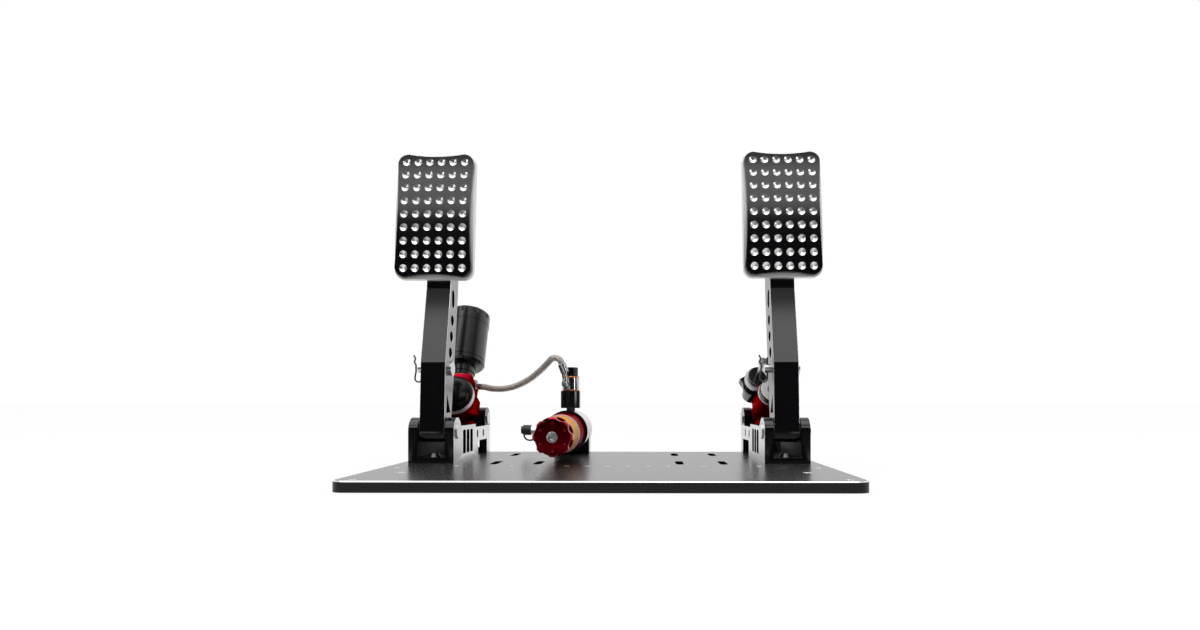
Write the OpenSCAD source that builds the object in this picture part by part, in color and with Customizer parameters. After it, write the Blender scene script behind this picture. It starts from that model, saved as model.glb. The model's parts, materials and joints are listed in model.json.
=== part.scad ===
// Two-pedal racing set: hydraulic brake on the left, throttle on the right, on one base plate.
// X runs to the right, Y to the back and Z up. The origin is the middle of the plate's underside.

/* [Base plate] */
// Width of the base plate, left to right
plate_w = 370; // [362:1:420]
// Depth of the base plate, front to back
plate_d = 265; // [265:1:320]
// Thickness of the base plate
plate_t = 8; // [7:0.5:12]
// Radius of the plate's corners
plate_corner_r = 10; // [4:0.5:14]
// Bare chamfer along the plate's top edge
plate_chamfer = 1.2; // [0.5:0.1:2]
// Diameter of the four mounting holes
mount_hole_d = 5.5; // [4:0.1:7]
// How far the mounting holes stand from the plate's sides
mount_edge = 13; // [11:0.5:20]
// Spacing of the mounting holes along the plate
mount_span_y = 80; // [66:1:86]
// Distance of the front mounting holes from the plate's front edge
mount_inset = 10; // [7:0.5:14]
// Width of the slots for further pedal positions
slot_w = 7; // [5:0.5:9]
// Diameter of the small holes in the row across the plate
row_hole_d = 4.5; // [3:0.1:6]
// Spacing of the small holes in the row
row_pitch = 17; // [14:0.5:18]

/* [Pedal stations] */
// Distance of each pedal's middle plane from the plate's centre line
pedal_x = 156; // [150:0.5:158]
// Arm pivot, behind the plate's centre
pivot_y = 8; // [5:0.5:11]
// Height of the arm pivot above the plate
pivot_h = 28; // [26:0.5:31]
// Rear pivot of the inclined cylinders, behind the plate's centre
rear_pin_y = 121; // [117:0.5:121]
// Height of the rear pivot above the plate
rear_pin_h = 37; // [35:0.5:39]
// Clevis pin in the arm, behind the plate's centre
clevis_y = 15; // [14:0.5:17]
// Height of the clevis pin above the plate
clevis_h = 84; // [81:0.5:87]

/* [Brackets] */
// Overall width of each bracket
bracket_w = 40; // [37:0.5:44]
// Thickness of each side wall
wall_t = 8; // [7:0.5:9]
// Radius of the round top of the front ears
ear_r = 12; // [10:0.5:14]
// Radius of the round top of the rear ears
rear_ear_r = 11; // [9:0.5:11.5]
// Height of the side walls behind the front ears
wall_h = 32; // [29:0.5:34]
// Height of the lower side walls at the back
rear_wall_h = 29; // [26:0.5:30]
// Height of the arch under the back of each wall
arch_h = 15; // [12:0.5:18]
// Thickness of the bracket's feet
foot_t = 5; // [4:0.5:7]
// Diameter of the pins in the arm pivots
pivot_pin_d = 10; // [8:0.5:11]
// Diameter of the pins in the rear pivots
rear_pin_d = 9; // [8:0.5:11]
// Diameter of the screws that hold the brackets
foot_screw_d = 6; // [4:0.5:7]

/* [Pedal arms] */
// Thickness of the pedal arms
arm_t = 22; // [21:0.5:22.5]
// Radius of the arm's foot around its pivot
arm_foot_r = 10; // [9:0.5:11]
// Front edge of the arm at its knee, behind the plate's centre
knee_y = 2; // [0:0.5:4]
// Height of the knee above the plate
knee_h = 89; // [86:0.5:92]
// Front edge of the arm at its neck, behind the plate's centre
neck_y = 18; // [14:0.5:22]
// Height of the neck above the plate
neck_h = 157; // [152:0.5:160]
// Front edge of the arm at its top, behind the plate's centre
arm_top_y = 26; // [24:0.5:29]
// Height of the arm's top above the plate
arm_top_h = 237; // [232:1:250]
// Depth of the arm at its knee
arm_d_knee = 28; // [26:0.5:31]
// Depth of the arm at its neck and top
arm_d_top = 24; // [22:0.5:27]
// Diameter of the lightening holes
light_hole_d = 10; // [7:0.5:12]
// Diameter of the clevis pins
clevis_pin_d = 8; // [6:0.5:9]

/* [Pedal faces] */
// Width of the pedal faces
pad_w = 71; // [62:1:80]
// Height of the pedal faces along their middle
pad_l = 117; // [112:1:130]
// Height of the pedal faces' lower edge above the plate
pad_bottom_h = 164; // [161:0.5:168]
// How far the brake's face stands outboard of its arm
brake_face_shift = 3; // [0:0.5:5]
// How far the throttle's face stands higher than the brake's
throttle_face_lift = 1.5; // [0:0.5:3]
// Radius of the curve that the faces bulge along
pad_curve_r = 500; // [400:10:800]
// Thickness of the bare back at its thin ends
back_edge_t = 5; // [4.5:0.5:8]
// Thickness of the black face
face_t = 4; // [3:0.5:6]
// Radius of the face's corners
pad_corner_r = 9; // [6:0.5:12]
// How far the black face's sides are drawn in
side_waist = 1.8; // [0.5:0.1:3]
// How far the black face's ends are drawn in
end_waist = 2.4; // [0.5:0.1:3]
// Margin of bare back that shows round the black face
face_margin = 1.2; // [0.5:0.1:2]
// Spacing of the dimples across the face
dimple_pitch_x = 10.6; // [9:0.1:11]
// Spacing of the dimples along the face
dimple_pitch_z = 12.3; // [10.5:0.1:12.6]
// Diameter of the dimples at the surface
dimple_d = 6.6; // [4:0.1:7.5]
// Depth of the dimples
dimple_depth = 1.8; // [1:0.1:2.4]

/* [Master cylinder] */
// Width of the master cylinder across its flats
master_af = 34; // [32:0.5:35]
// Bore of the master cylinder
master_bore_d = 18; // [15:0.5:19]
// Diameter of the rubber boot
boot_d = 37; // [34:0.5:38]
// Diameter of the pushrods
pushrod_d = 8; // [6:0.5:9]
// Diameter of the fluid canister
reservoir_d = 43; // [40:1:50]
// Height of the fluid canister without its cap
reservoir_l = 47; // [42:1:52]
// Wall of the fluid canister
reservoir_wall = 2.5; // [1.5:0.1:4]
// Diameter of the canister's cap
cap_d = 43.6; // [43:0.1:50]
// Height of the canister's cap
cap_l = 14; // [11:0.5:18]
// Diameter of the collar under the canister
collar_d = 26; // [22:0.5:30]

/* [Slave cylinder] */
// Middle of the slave cylinder, from the plate's centre line
slave_x = -44; // [-50:0.5:-42]
// Height of the slave cylinder's axis above the plate
slave_h = 25; // [24:0.5:27]
// Diameter of the slave cylinder's body
slave_d = 39; // [37:0.5:41]
// Bore of the slave cylinder
slave_bore_d = 28; // [26:0.5:30]
// Diameter of the rod through the slave cylinder
tie_rod_d = 9.2; // [8:0.1:10]
// Diameter of the adjusting knob
knob_d = 33; // [30:0.5:36]
// Length of the adjusting knob
knob_l = 15; // [12:0.5:18]
// Diameter of the elastomer
elastomer_d = 32; // [28:0.5:34]
// Length of the elastomer
elastomer_l = 38; // [32:0.5:42]
// Diameter of the brake hose
hose_d = 6.5; // [5:0.1:7]

/* [Throttle unit] */
// Width of the throttle cylinder across its flats
throttle_af = 26; // [25:0.5:28]
// Bore of the throttle cylinder
throttle_bore_d = 19; // [17:0.5:20]
// Diameter of the position sensor
sensor_d = 19; // [16:0.5:20]
// Diameter of the spring wire
spring_wire_d = 1.6; // [1:0.1:1.8]

/* [Hidden] */
$fn = 64;

// Sides of the set
brake_side = -1;
throttle_side = 1;

// Clearances: seated pieces, running fits, separate moving pieces, and the open pivot at the rod ends
seat_gap = 0.02;
run_gap = 0.05;
free_gap = 0.3;
open_gap = 0.5;
// Overshoot of a cut past the face that it opens
cut = 1;

// Bracket places
wall_gap = bracket_w - 2 * wall_t;
bracket_front_y = pivot_y - ear_r;
bracket_end_y = rear_pin_y + rear_ear_r;
front_wall_l = 64;
wall_step_y = pivot_y + front_wall_l;
rear_arch_l = 51;
arch_front_y = bracket_end_y - rear_arch_l;
rear_leg_l = 14;
front_foot_l = 30;
foot_screw_inset = 10;
foot_screw_front_y = bracket_front_y + foot_screw_inset;
foot_screw_rear_y = bracket_end_y - rear_leg_l / 2;
screw_head_l = 3.3;
screw_head_r = foot_screw_d * 0.9;
wall_slot_w = 9.5;
wall_slot_pitch = 12.5;
wall_slot_place = 23;
wall_slot_y = pivot_y + wall_slot_place;
wall_slot_h0 = 6;
wall_slot_top_margin = 4;
wall_slot_l = wall_h - wall_slot_h0 - wall_slot_top_margin;
wall_slot_r = 2;
rear_slot_w = 5;
rear_slot_l = 8;
rear_slot_pitch = 24;
rear_slot_place = 7;
rear_slot_h0 = (arch_h + rear_wall_h - rear_slot_l) / 2;
pin_head_t = 1.5;
pin_head_r = pivot_pin_d / 2 + 2;
ring_t = 1.2;
ring_lip = 2;
pin_end = 1;

// Plate holes
mount_span_x = plate_w - 2 * mount_edge;
extra_hole_d = 7;
extra_hole_x = pedal_x - 1;
extra_hole_y = -77;
row_y = -27;
station_x = 81;
station_slot_dx = 19;
front_slot_y = -13;
rear_slot_y = 76;
plate_slot_l = 31;
outer_row_x = 127;

// Link between each clevis pin and its rear pin
link_angle = atan2(clevis_h - rear_pin_h, rear_pin_y - clevis_y);
link_l = norm([rear_pin_y - clevis_y, clevis_h - rear_pin_h]);
eye_w = 10;
eye_r = clevis_pin_d / 2 + 3.5;
fork_w = eye_w + 1;
fork_above = 11;
fork_below = 20;
fork_front = eye_r + 1;
lug_r = 10;
lug_w = wall_gap - 2;
lug_neck_w = 18;

// Arms and faces
foot_inner = arm_foot_r - 0.4;
neck_lean = atan2(arm_top_y - neck_y, arm_top_h - neck_h);
pad_base_y = neck_y + (pad_bottom_h - neck_h) * tan(neck_lean);
pad_sag = pad_curve_r - sqrt(pad_curve_r * pad_curve_r - pad_l * pad_l / 4);
back_mid_t = back_edge_t + pad_sag;
dimple_cols = 6;
dimple_rows = 9;
dimple_ball_r = (dimple_d * dimple_d / 4 + dimple_depth * dimple_depth) / (2 * dimple_depth);
pad_screw_d = 6;
pad_screw_head_d = 10;
pad_screw_head_l = 6;
pad_screw_head_y = arm_d_top * cos(neck_lean) - pad_screw_head_l;
pad_screw_bite = 4;
pad_screw_places = [15, 58];
bush_wall = 1.5;
bush_flange_r = pivot_pin_d / 2 + 4;
bush_flange_t = (wall_gap - arm_t) / 2 - free_gap;
bush_l = 9;
light_pitch = 15;
light_first = 9.5;
neck_slot_w = 8;
neck_slot_l = 17;
window_h = [44, 62];
window_y = [5, 17];
clevis_tail = 6;
clevis_head_t = 3;
clip_hole_r = 1;
clip_r = 0.8;
clip_x = arm_t / 2 + 3.2;

// Master cylinder, measured forward of the rear pin along the link
master_back = 24;
master_front = 54;
master_bore_end = 26;
ring_l = 6;
boot_l = 9;
boot_r = boot_d / 2;
boot_bore_r = pushrod_d / 2 + free_gap;
piston_l = 10;
piston_y = -master_front + free_gap;
res_place = 42;
port_w = 24;
port_l = 22;
port_top = 26;
seal_t = 1.2;
collar_l = 12.8;
res_bottom = port_top + seal_t + collar_l;
res_groove = 5;
cap_notches = 10;
cap_notch_r = 2.6;
cap_spigot_l = 6;
outlet_x = 9;
outlet_place = 21;
outlet_r = 4.5;
outlet_top = 20;
outlet_washer_t = 1;
fitting_r = 4.2;
fitting_l = 7;
fitting_reach = 17;
jam_nut_af = 13;
jam_nut_l = 5;
jam_nut_place = 12;
jam_nut_y = -link_l + eye_r + jam_nut_place;

// Throttle unit, measured forward of the rear pin along the link
throttle_back = 22;
throttle_front = 62;
throttle_bore_end = 26;
throttle_ring_t = 2;
throttle_cap_l = 6;
o_ring_t = 1.5;
spring_seat_l = 4;
spring_seat_y = -throttle_front + free_gap;
sensor_gap = 1;
sensor_reach = throttle_af / 2 + sensor_gap + sensor_d / 2;
sensor_front = 60;
sensor_back = 14;
sensor_wall = 2.2;
sensor_rod_d = 5;
sensor_link_place = 86.5;
sensor_link_t = 3;
clamp_wall = 2.5;
clamp_l = 5;
clamp_w = 12;
clamp_places = [38, 54];
sensor_plug = [9, 10, 8];

// Slave cylinder, measured along Y
knob_front_y = -44;
knob_back_y = knob_front_y + knob_l;
elastomer_y = knob_back_y + free_gap;
washer_y = elastomer_y + elastomer_l + run_gap;
washer_l = 3;
cup_y = washer_y + washer_l;
cup_d = 36;
cup_l = 43.4;
cup_groove_l = 3;
cup_groove_depth = 1.5;
gland_y = cup_y + cup_l + free_gap;
gland_l = 7;
gland_d = slave_d + 2;
slave_y = gland_y + gland_l;
slave_l = 63;
slave_end_wall = 10;
piston_tube_r = 11.9;
slave_piston_place = 7;
slave_piston_y = slave_y + slave_piston_place;
slave_piston_l = 14;
port_place = 31;
port_y = slave_y + port_place;
tie_rod_front = 2;
knob_lobes = 8;
knob_lobe_r = 6;
knob_lobe_depth = 2.2;
knob_dimples = 6;
knob_dimple_r = 1.1;
knob_dimple_ring = 11.5;
saddle_w = slave_d - 3;
saddle_l = 20;
saddle_y = slave_y + slave_l - saddle_l - 2;
saddle_screw_d = 5;
saddle_screw_head_d = 9;
saddle_screw_head_l = 4;
saddle_screw_dy = 5;
saddle_screw_l = plate_t - saddle_screw_head_l + slave_h - slave_d / 2 - 1;
adapter_neck_r = 4.5;
adapter_seat = 1;
adapter_neck_l = 3;
adapter_af = 19;
adapter_l = 17.5;
adapter_bottom = slave_d / 2 + adapter_neck_l;
adapter_top = adapter_bottom + adapter_l;
copper_t = 1.2;
copper_r = 7.5;
banjo_r = 8.8;
banjo_l = 12.2;
banjo_bolt_r = 5;
bolt_head_af = 13;
bolt_head_l = 9.5;
bolt_bite = 9;
banjo_bottom = adapter_top + copper_t;
banjo_top = banjo_bottom + banjo_l;
nipple_r = 3;
nipple_l = 27;
nipple_hex_af = 8;
nipple_hex_l = 5;
bleed_cap_r = 5.2;
bleed_cap_l = 8;
bleed_cap_bite = 6;
bleed_mouth = -slave_d / 2 - nipple_l + bleed_cap_bite;

// Hose route from the master's outlet to the crimped end at the slave, with its middle at each point
hose_route = [
    [-138.8, 107.5, 77.5], [-135.5, 107.5, 77.4], [-129.5, 107.25, 76], [-123.25, 106.5, 75.5],
    [-116.5, 105.5, 75.5],
    [-109.25, 103.75, 76.5], [-102.25, 102, 78.25], [-95.75, 99.5, 80.75], [-89.5, 97, 83.75],
    [-83.5, 94.25, 87.25], [-78, 91.25, 91.25], [-72.5, 88.25, 95.5], [-67.5, 85.25, 100],
    [-62.5, 82.25, 104.75], [-60, 81.25, 106], [-57.25, 80.75, 106], [-54.75, 80.25, 105],
    [-52.7, 80.5, 102.9], [-51.8, 81, 100.3]
];
hose_sides = 10;
hose_end = hose_route[len(hose_route) - 1];
hose_end_run = hose_end - hose_route[len(hose_route) - 2];
ferrule_r = 4.3;
ferrule_l = 9;
crimp_start = hose_end + hose_end_run / norm(hose_end_run) * (free_gap + ferrule_l);
banjo_neck_r = 2.8;
banjo_elbow_reach = 10.5;
banjo_knuckle = 0.6;
ferrule_end = crimp_start + (hose_end - crimp_start) * ferrule_l / (ferrule_l + free_gap);

// Coil springs
spring_turns = 5;
spring_rings = 8;
spring_sides = 6;

// Frames and plain shapes

module station(side) {
    translate([side * pedal_x, 0, plate_t])
        mirror([side > 0 ? 1 : 0, 0, 0])
            children();
}

module link_frame() {
    translate([0, rear_pin_y, rear_pin_h])
        rotate([-link_angle, 0, 0])
            children();
}

module pad_frame() {
    translate([0, pad_base_y, pad_bottom_h])
        rotate([-neck_lean, 0, 0])
            children();
}

module slave_frame() {
    translate([slave_x, 0, plate_t + slave_h])
        children();
}

module x_rod(r, x0, x1) {
    translate([x0, 0, 0])
        rotate([0, 90, 0])
            cylinder(r = r, h = x1 - x0);
}

module y_rod(r, y0, y1) {
    translate([0, y0, 0])
        rotate([-90, 0, 0])
            cylinder(r = r, h = y1 - y0);
}

module y_prism(af, sides, y0, y1) {
    translate([0, y0, 0])
        rotate([-90, 0, 0])
            rotate([0, 0, 180 / sides])
                cylinder(r = af / 2 / cos(180 / sides), h = y1 - y0, $fn = sides);
}

module z_hex(af, z0, z1) {
    translate([0, 0, z0])
        rotate([0, 0, 30])
            cylinder(r = af / 2 / cos(30), h = z1 - z0, $fn = 6);
}

module side_extrude(x0, x1) {
    translate([x0, 0, 0])
        rotate([90, 0, 90])
            linear_extrude(x1 - x0)
                children();
}

module rounded_rect(w, l, r) {
    square([w - 2 * r, l], center = true);
    square([w, l - 2 * r], center = true);
    for (sx = [-1, 1], sy = [-1, 1])
        translate([sx * (w / 2 - r), sy * (l / 2 - r)])
            circle(r);
}

module upright_slot(w, l) {
    translate([-w / 2, w / 2])
        square([w, l - w]);
    translate([0, w / 2])
        circle(w / 2);
    translate([0, l - w / 2])
        circle(w / 2);
}

// A rod from point a to point b
module rod_between(a, b, r) {
    v = b - a;
    translate(a)
        rotate([0, acos(v[2] / norm(v)), atan2(v[1], v[0])])
            cylinder(r = r, h = norm(v));
}

// Tube swept along points; ref is a direction that no stretch runs along

function unit(v) = v / norm(v);

function tangent(p, i) =
    i == 0 ? unit(p[1] - p[0]) :
    i == len(p) - 1 ? unit(p[i] - p[i - 1]) :
    unit(unit(p[i + 1] - p[i]) + unit(p[i] - p[i - 1]));

function tube_ring(p, i, r, sides, ref) =
    let (t = tangent(p, i), u = unit(cross(ref, t)), v = cross(t, u))
        [for (k = [0 : sides - 1]) p[i] + r * (cos(360 * k / sides) * u + sin(360 * k / sides) * v)];

module tube(p, r, sides, ref) {
    n = len(p);
    last = (n - 1) * sides;
    polyhedron(
        points = [for (i = [0 : n - 1]) for (q = tube_ring(p, i, r, sides, ref)) q],
        faces = concat(
            [for (i = [0 : n - 2], k = [0 : sides - 1])
                let (a = i * sides + k, b = i * sides + (k + 1) % sides) [a, a + sides, b + sides]],
            [for (i = [0 : n - 2], k = [0 : sides - 1])
                let (a = i * sides + k, b = i * sides + (k + 1) % sides) [a, b + sides, b]],
            [for (k = [1 : sides - 2]) [0, k, k + 1]],
            [for (k = [1 : sides - 2]) [last, last + k + 1, last + k]]));
}

// Coil along +Y from y0 to y1, its ends drawn square to the seats
module coil(r, wire, y0, y1) {
    n = spring_turns * spring_rings;
    lift = (y1 - y0 - wire) / n;
    points = [for (i = [0 : n]) let (a = 360 * i / spring_rings)
        [r * cos(a), y0 + wire / 2 + lift * i, r * sin(a)]];
    tube(points, wire / 2, spring_sides, [0, 1, 0]);
}

// Base plate with its bare chamfer, mounting holes and spare pedal positions

module chamfered_plate(w, d, t, r, c) {
    linear_extrude(t - c)
        rounded_rect(w, d, r);
    side_extrude(-w / 2 + r, w / 2 - r)
        polygon([[-d / 2, t - c], [d / 2, t - c], [d / 2 - c, t], [-d / 2 + c, t]]);
    translate([0, d / 2 - r, 0])
        rotate([90, 0, 0])
            linear_extrude(d - 2 * r)
                polygon([[-w / 2, t - c], [w / 2, t - c], [w / 2 - c, t], [-w / 2 + c, t]]);
    for (sx = [-1, 1], sy = [-1, 1])
        translate([sx * (w / 2 - r), sy * (d / 2 - r), t - c])
            cylinder(r1 = r, r2 = r - c, h = c);
}

module plate_hole(x, y, d) {
    translate([x, y, -cut])
        cylinder(d = d, h = plate_t + 2 * cut);
}

module plate_slot(x, y, w, l) {
    translate([x, y, -cut])
        linear_extrude(plate_t + 2 * cut)
            upright_slot(w, l);
}

module base_plate() {
    mount_front_y = -plate_d / 2 + mount_inset;
    color([0.07, 0.07, 0.08])
        difference() {
            chamfered_plate(plate_w, plate_d, plate_t, plate_corner_r, plate_chamfer);
            for (sx = [-1, 1]) {
                for (y = [mount_front_y, mount_front_y + mount_span_y])
                    plate_hole(sx * mount_span_x / 2, y, mount_hole_d);
                plate_hole(sx * extra_hole_x, extra_hole_y, extra_hole_d);
                plate_hole(sx * station_x, row_y, row_hole_d);
                plate_hole(sx * outer_row_x, row_y, row_hole_d);
                for (y = [foot_screw_front_y, foot_screw_rear_y])
                    plate_hole(sx * pedal_x, y, foot_screw_d + 2 * seat_gap);
                for (dx = [-1, 1]) {
                    plate_slot(sx * station_x + dx * station_slot_dx, front_slot_y, slot_w, plate_slot_l);
                    plate_slot(sx * station_x + dx * station_slot_dx, rear_slot_y, slot_w, plate_slot_l);
                }
            }
            for (i = [-3 : 3])
                plate_hole(i * row_pitch, row_y, row_hole_d);
            for (dy = [-1, 1])
                translate([slave_x, saddle_y + saddle_l / 2 + dy * saddle_screw_dy, 0]) {
                    translate([0, 0, -cut])
                        cylinder(d = saddle_screw_d + 2 * seat_gap, h = plate_t + 2 * cut);
                    translate([0, 0, -cut])
                        cylinder(d = saddle_screw_head_d + 2 * seat_gap, h = saddle_screw_head_l + cut);
                }
        }
}

// Pedal brackets: two side walls with ears, joined by feet; only the inboard wall is slotted

module wall_profile(slotted) {
    difference() {
        union() {
            translate([bracket_front_y, 0])
                square([2 * ear_r, pivot_h]);
            translate([pivot_y, pivot_h])
                circle(ear_r);
            translate([pivot_y, arch_h])
                square([wall_step_y - pivot_y, wall_h - arch_h]);
            translate([pivot_y, 0])
                square([arch_front_y - pivot_y, rear_wall_h]);
            translate([pivot_y, arch_h])
                square([bracket_end_y - pivot_y, rear_wall_h - arch_h]);
            translate([rear_pin_y - rear_ear_r, arch_h])
                square([2 * rear_ear_r, rear_pin_h - arch_h]);
            translate([rear_pin_y, rear_pin_h])
                circle(rear_ear_r);
            translate([bracket_end_y - rear_leg_l, 0])
                square([rear_leg_l, arch_h + cut]);
        }
        translate([pivot_y, pivot_h])
            circle(d = pivot_pin_d + 2 * seat_gap);
        translate([rear_pin_y, rear_pin_h])
            circle(d = rear_pin_d + 2 * seat_gap);
        if (slotted) {
            for (i = [0 : 2])
                translate([wall_slot_y + i * wall_slot_pitch, wall_slot_h0 + wall_slot_l / 2])
                    rounded_rect(wall_slot_w, wall_slot_l, wall_slot_r);
            for (i = [0 : 1])
                translate([wall_step_y + rear_slot_place + i * rear_slot_pitch, rear_slot_h0])
                    upright_slot(rear_slot_w, rear_slot_l);
        }
    }
}

module foot_block(y0, l, screw_y) {
    difference() {
        translate([-wall_gap / 2 - cut, y0, 0])
            cube([wall_gap + 2 * cut, l, foot_t]);
        translate([0, screw_y, -cut])
            cylinder(d = foot_screw_d + 2 * seat_gap, h = foot_t + 2 * cut);
    }
}

module bracket(side) {
    station(side) {
        for (sx = [-1, 1])
            side_extrude((sx * (bracket_w - wall_t) - wall_t) / 2, (sx * (bracket_w - wall_t) + wall_t) / 2)
                wall_profile(sx > 0);
        foot_block(bracket_front_y, front_foot_l, foot_screw_front_y);
        foot_block(bracket_end_y - rear_leg_l, rear_leg_l, foot_screw_rear_y);
    }
}

module brake_bracket() {
    color([0.1, 0.1, 0.11])
        bracket(brake_side);
}

module throttle_bracket() {
    color([0.1, 0.1, 0.11])
        bracket(throttle_side);
}

module bracket_screws() {
    color([0.8, 0.8, 0.82])
        for (side = [brake_side, throttle_side], y = [foot_screw_front_y, foot_screw_rear_y])
            station(side)
                translate([0, y, 0])
                    difference() {
                        union() {
                            translate([0, 0, 1 - plate_t])
                                cylinder(d = foot_screw_d, h = plate_t + foot_t - 1);
                            translate([0, 0, foot_t])
                                cylinder(r1 = screw_head_r, r2 = screw_head_r * 0.65, h = screw_head_l);
                        }
                        translate([0, 0, foot_t + screw_head_l - 2])
                            cylinder(d = foot_screw_d * 0.66, h = 2 + cut, $fn = 6);
                    }
}

module headed_pin(d, head_r) {
    x_rod(d / 2, -bracket_w / 2 - ring_t - pin_end, bracket_w / 2);
    x_rod(head_r, bracket_w / 2, bracket_w / 2 + pin_head_t);
}

module pivot_pins() {
    color([0.75, 0.76, 0.78])
        for (side = [brake_side, throttle_side])
            station(side)
                translate([0, pivot_y, pivot_h])
                    headed_pin(pivot_pin_d, pin_head_r);
}

module rear_pins() {
    color([0.75, 0.76, 0.78])
        for (side = [brake_side, throttle_side])
            station(side)
                translate([0, rear_pin_y, rear_pin_h])
                    headed_pin(rear_pin_d, rear_pin_d / 2 + 2);
}

module retaining_ring(d) {
    difference() {
        x_rod(d / 2 + ring_lip, -bracket_w / 2 - ring_t, -bracket_w / 2);
        x_rod(d / 2 + seat_gap, -bracket_w / 2 - ring_t - cut, -bracket_w / 2 + cut);
    }
}

module retaining_rings() {
    color([0.3, 0.3, 0.32])
        for (side = [brake_side, throttle_side])
            station(side) {
                translate([0, pivot_y, pivot_h])
                    retaining_ring(pivot_pin_d);
                translate([0, rear_pin_y, rear_pin_h])
                    retaining_ring(rear_pin_d);
            }
}

// Pedal arms with their bushes, faces and pins

function share(h) = (h - knee_h) / (neck_h - knee_h);

function arm_middle_y(h) =
    knee_y + (neck_y - knee_y) * share(h) + (arm_d_knee + (arm_d_top - arm_d_knee) * share(h)) / 2;

module arm_profile() {
    polygon([[pivot_y - foot_inner, pivot_h], [knee_y, knee_h], [neck_y, neck_h], [arm_top_y, arm_top_h],
        [arm_top_y + arm_d_top, arm_top_h], [neck_y + arm_d_top, neck_h],
        [knee_y + arm_d_knee, knee_h], [pivot_y + foot_inner, pivot_h]]);
}

// Holes through the arm from side to side
module arm_holes() {
    translate([pivot_y, pivot_h])
        circle(pivot_pin_d / 2 + run_gap + bush_wall + seat_gap);
    translate([clevis_y, clevis_h])
        circle(d = clevis_pin_d + 2 * seat_gap);
    for (i = [0 : 2])
        let (h = knee_h + light_first + i * light_pitch)
            translate([arm_middle_y(h), h])
                circle(d = light_hole_d);
    translate([arm_middle_y(neck_h - neck_slot_l), neck_h - neck_slot_l])
        upright_slot(neck_slot_w, neck_slot_l);
    polygon([[window_y[0], window_h[0]], [window_y[1], window_h[0]], [window_y[0] + 2, window_h[1]]]);
}

module pad_screw_cut(extra) {
    for (z = pad_screw_places)
        translate([0, 0, z]) {
            y_rod(pad_screw_d / 2 + extra, -pad_screw_bite, arm_d_top);
            y_rod(pad_screw_head_d / 2 + extra, pad_screw_head_y, arm_d_top + cut);
        }
}

module arm(side) {
    station(side)
        difference() {
            union() {
                side_extrude(-arm_t / 2, arm_t / 2)
                    arm_profile();
                translate([0, pivot_y, pivot_h])
                    x_rod(arm_foot_r, -arm_t / 2, arm_t / 2);
            }
            side_extrude(-arm_t / 2 - cut, arm_t / 2 + cut)
                arm_holes();
            translate([-fork_w / 2, clevis_y - fork_front, clevis_h - fork_below])
                cube([fork_w, arm_d_knee + fork_front, fork_above + fork_below]);
            pad_frame()
                pad_screw_cut(seat_gap);
        }
}

module brake_arm() {
    color([0.08, 0.08, 0.09])
        arm(brake_side);
}

module throttle_arm() {
    color([0.08, 0.08, 0.09])
        arm(throttle_side);
}

module bushes(side) {
    bush_r = pivot_pin_d / 2 + run_gap;
    station(side)
        translate([0, pivot_y, pivot_h])
            for (m = [0, 1])
                mirror([m, 0, 0])
                    difference() {
                        union() {
                            x_rod(bush_r + bush_wall, arm_t / 2 - bush_l, arm_t / 2);
                            x_rod(bush_flange_r, arm_t / 2, arm_t / 2 + bush_flange_t);
                        }
                        x_rod(bush_r, arm_t / 2 - bush_l - cut, arm_t / 2 + bush_flange_t + cut);
                    }
}

module brake_bushes() {
    color([0.72, 0.55, 0.3])
        bushes(brake_side);
}

module throttle_bushes() {
    color([0.72, 0.55, 0.3])
        bushes(throttle_side);
}

// The bulge has one flat strip for each row of dimples, and two more past each end
function strip_points(r) =
    let (half = dimple_pitch_z / pad_curve_r * 90 / PI)
        [for (k = [0 : dimple_rows + 4])
            let (a = (2 * k - dimple_rows - 4) * half)
                [-r / cos(half) * cos(a), r / cos(half) * sin(a)]];

module bulge(r) {
    rear = -pad_curve_r + back_mid_t + cut;
    translate([0, pad_curve_r - back_mid_t, pad_l / 2])
        side_extrude(-pad_w, pad_w)
            polygon(concat(strip_points(r), [[rear, pad_l], [rear, -pad_l]]));
}

module pad_block(depth) {
    translate([0, 0, pad_l / 2])
        rotate([90, 0, 0])
            linear_extrude(depth)
                children();
}

module face_place(side) {
    aside = side == brake_side ? -brake_face_shift : 0;
    lift = side == throttle_side ? throttle_face_lift : 0;
    translate([aside, 0, lift])
        children();
}

module pad_back(side) {
    station(side)
        pad_frame()
            difference() {
                face_place(side)
                    intersection() {
                        pad_block(back_mid_t + cut)
                            rounded_rect(pad_w, pad_l, pad_corner_r);
                        bulge(pad_curve_r);
                    }
                for (z = pad_screw_places)
                    translate([0, 0, z])
                        y_rod(pad_screw_d / 2 + seat_gap, -pad_screw_bite, cut);
            }
}

module brake_pad_back() {
    color([0.78, 0.79, 0.8])
        pad_back(brake_side);
}

module throttle_pad_back() {
    color([0.78, 0.79, 0.8])
        pad_back(throttle_side);
}

// Arc radius that draws a side of length l in by s
function waist_r(l, s) = (l * l / 4 + s * s) / (2 * s);

module face_outline() {
    w = pad_w - 2 * face_margin;
    l = pad_l - 2 * face_margin;
    side_r = waist_r(l - 2 * pad_corner_r, side_waist);
    end_r = waist_r(w - 2 * pad_corner_r, end_waist);
    difference() {
        rounded_rect(w, l, pad_corner_r);
        for (s = [-1, 1]) {
            translate([s * (w / 2 + side_r - side_waist), 0])
                circle(side_r, $fn = 720);
            translate([0, s * (l / 2 + end_r - end_waist)])
                circle(end_r, $fn = 720);
        }
    }
}

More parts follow.
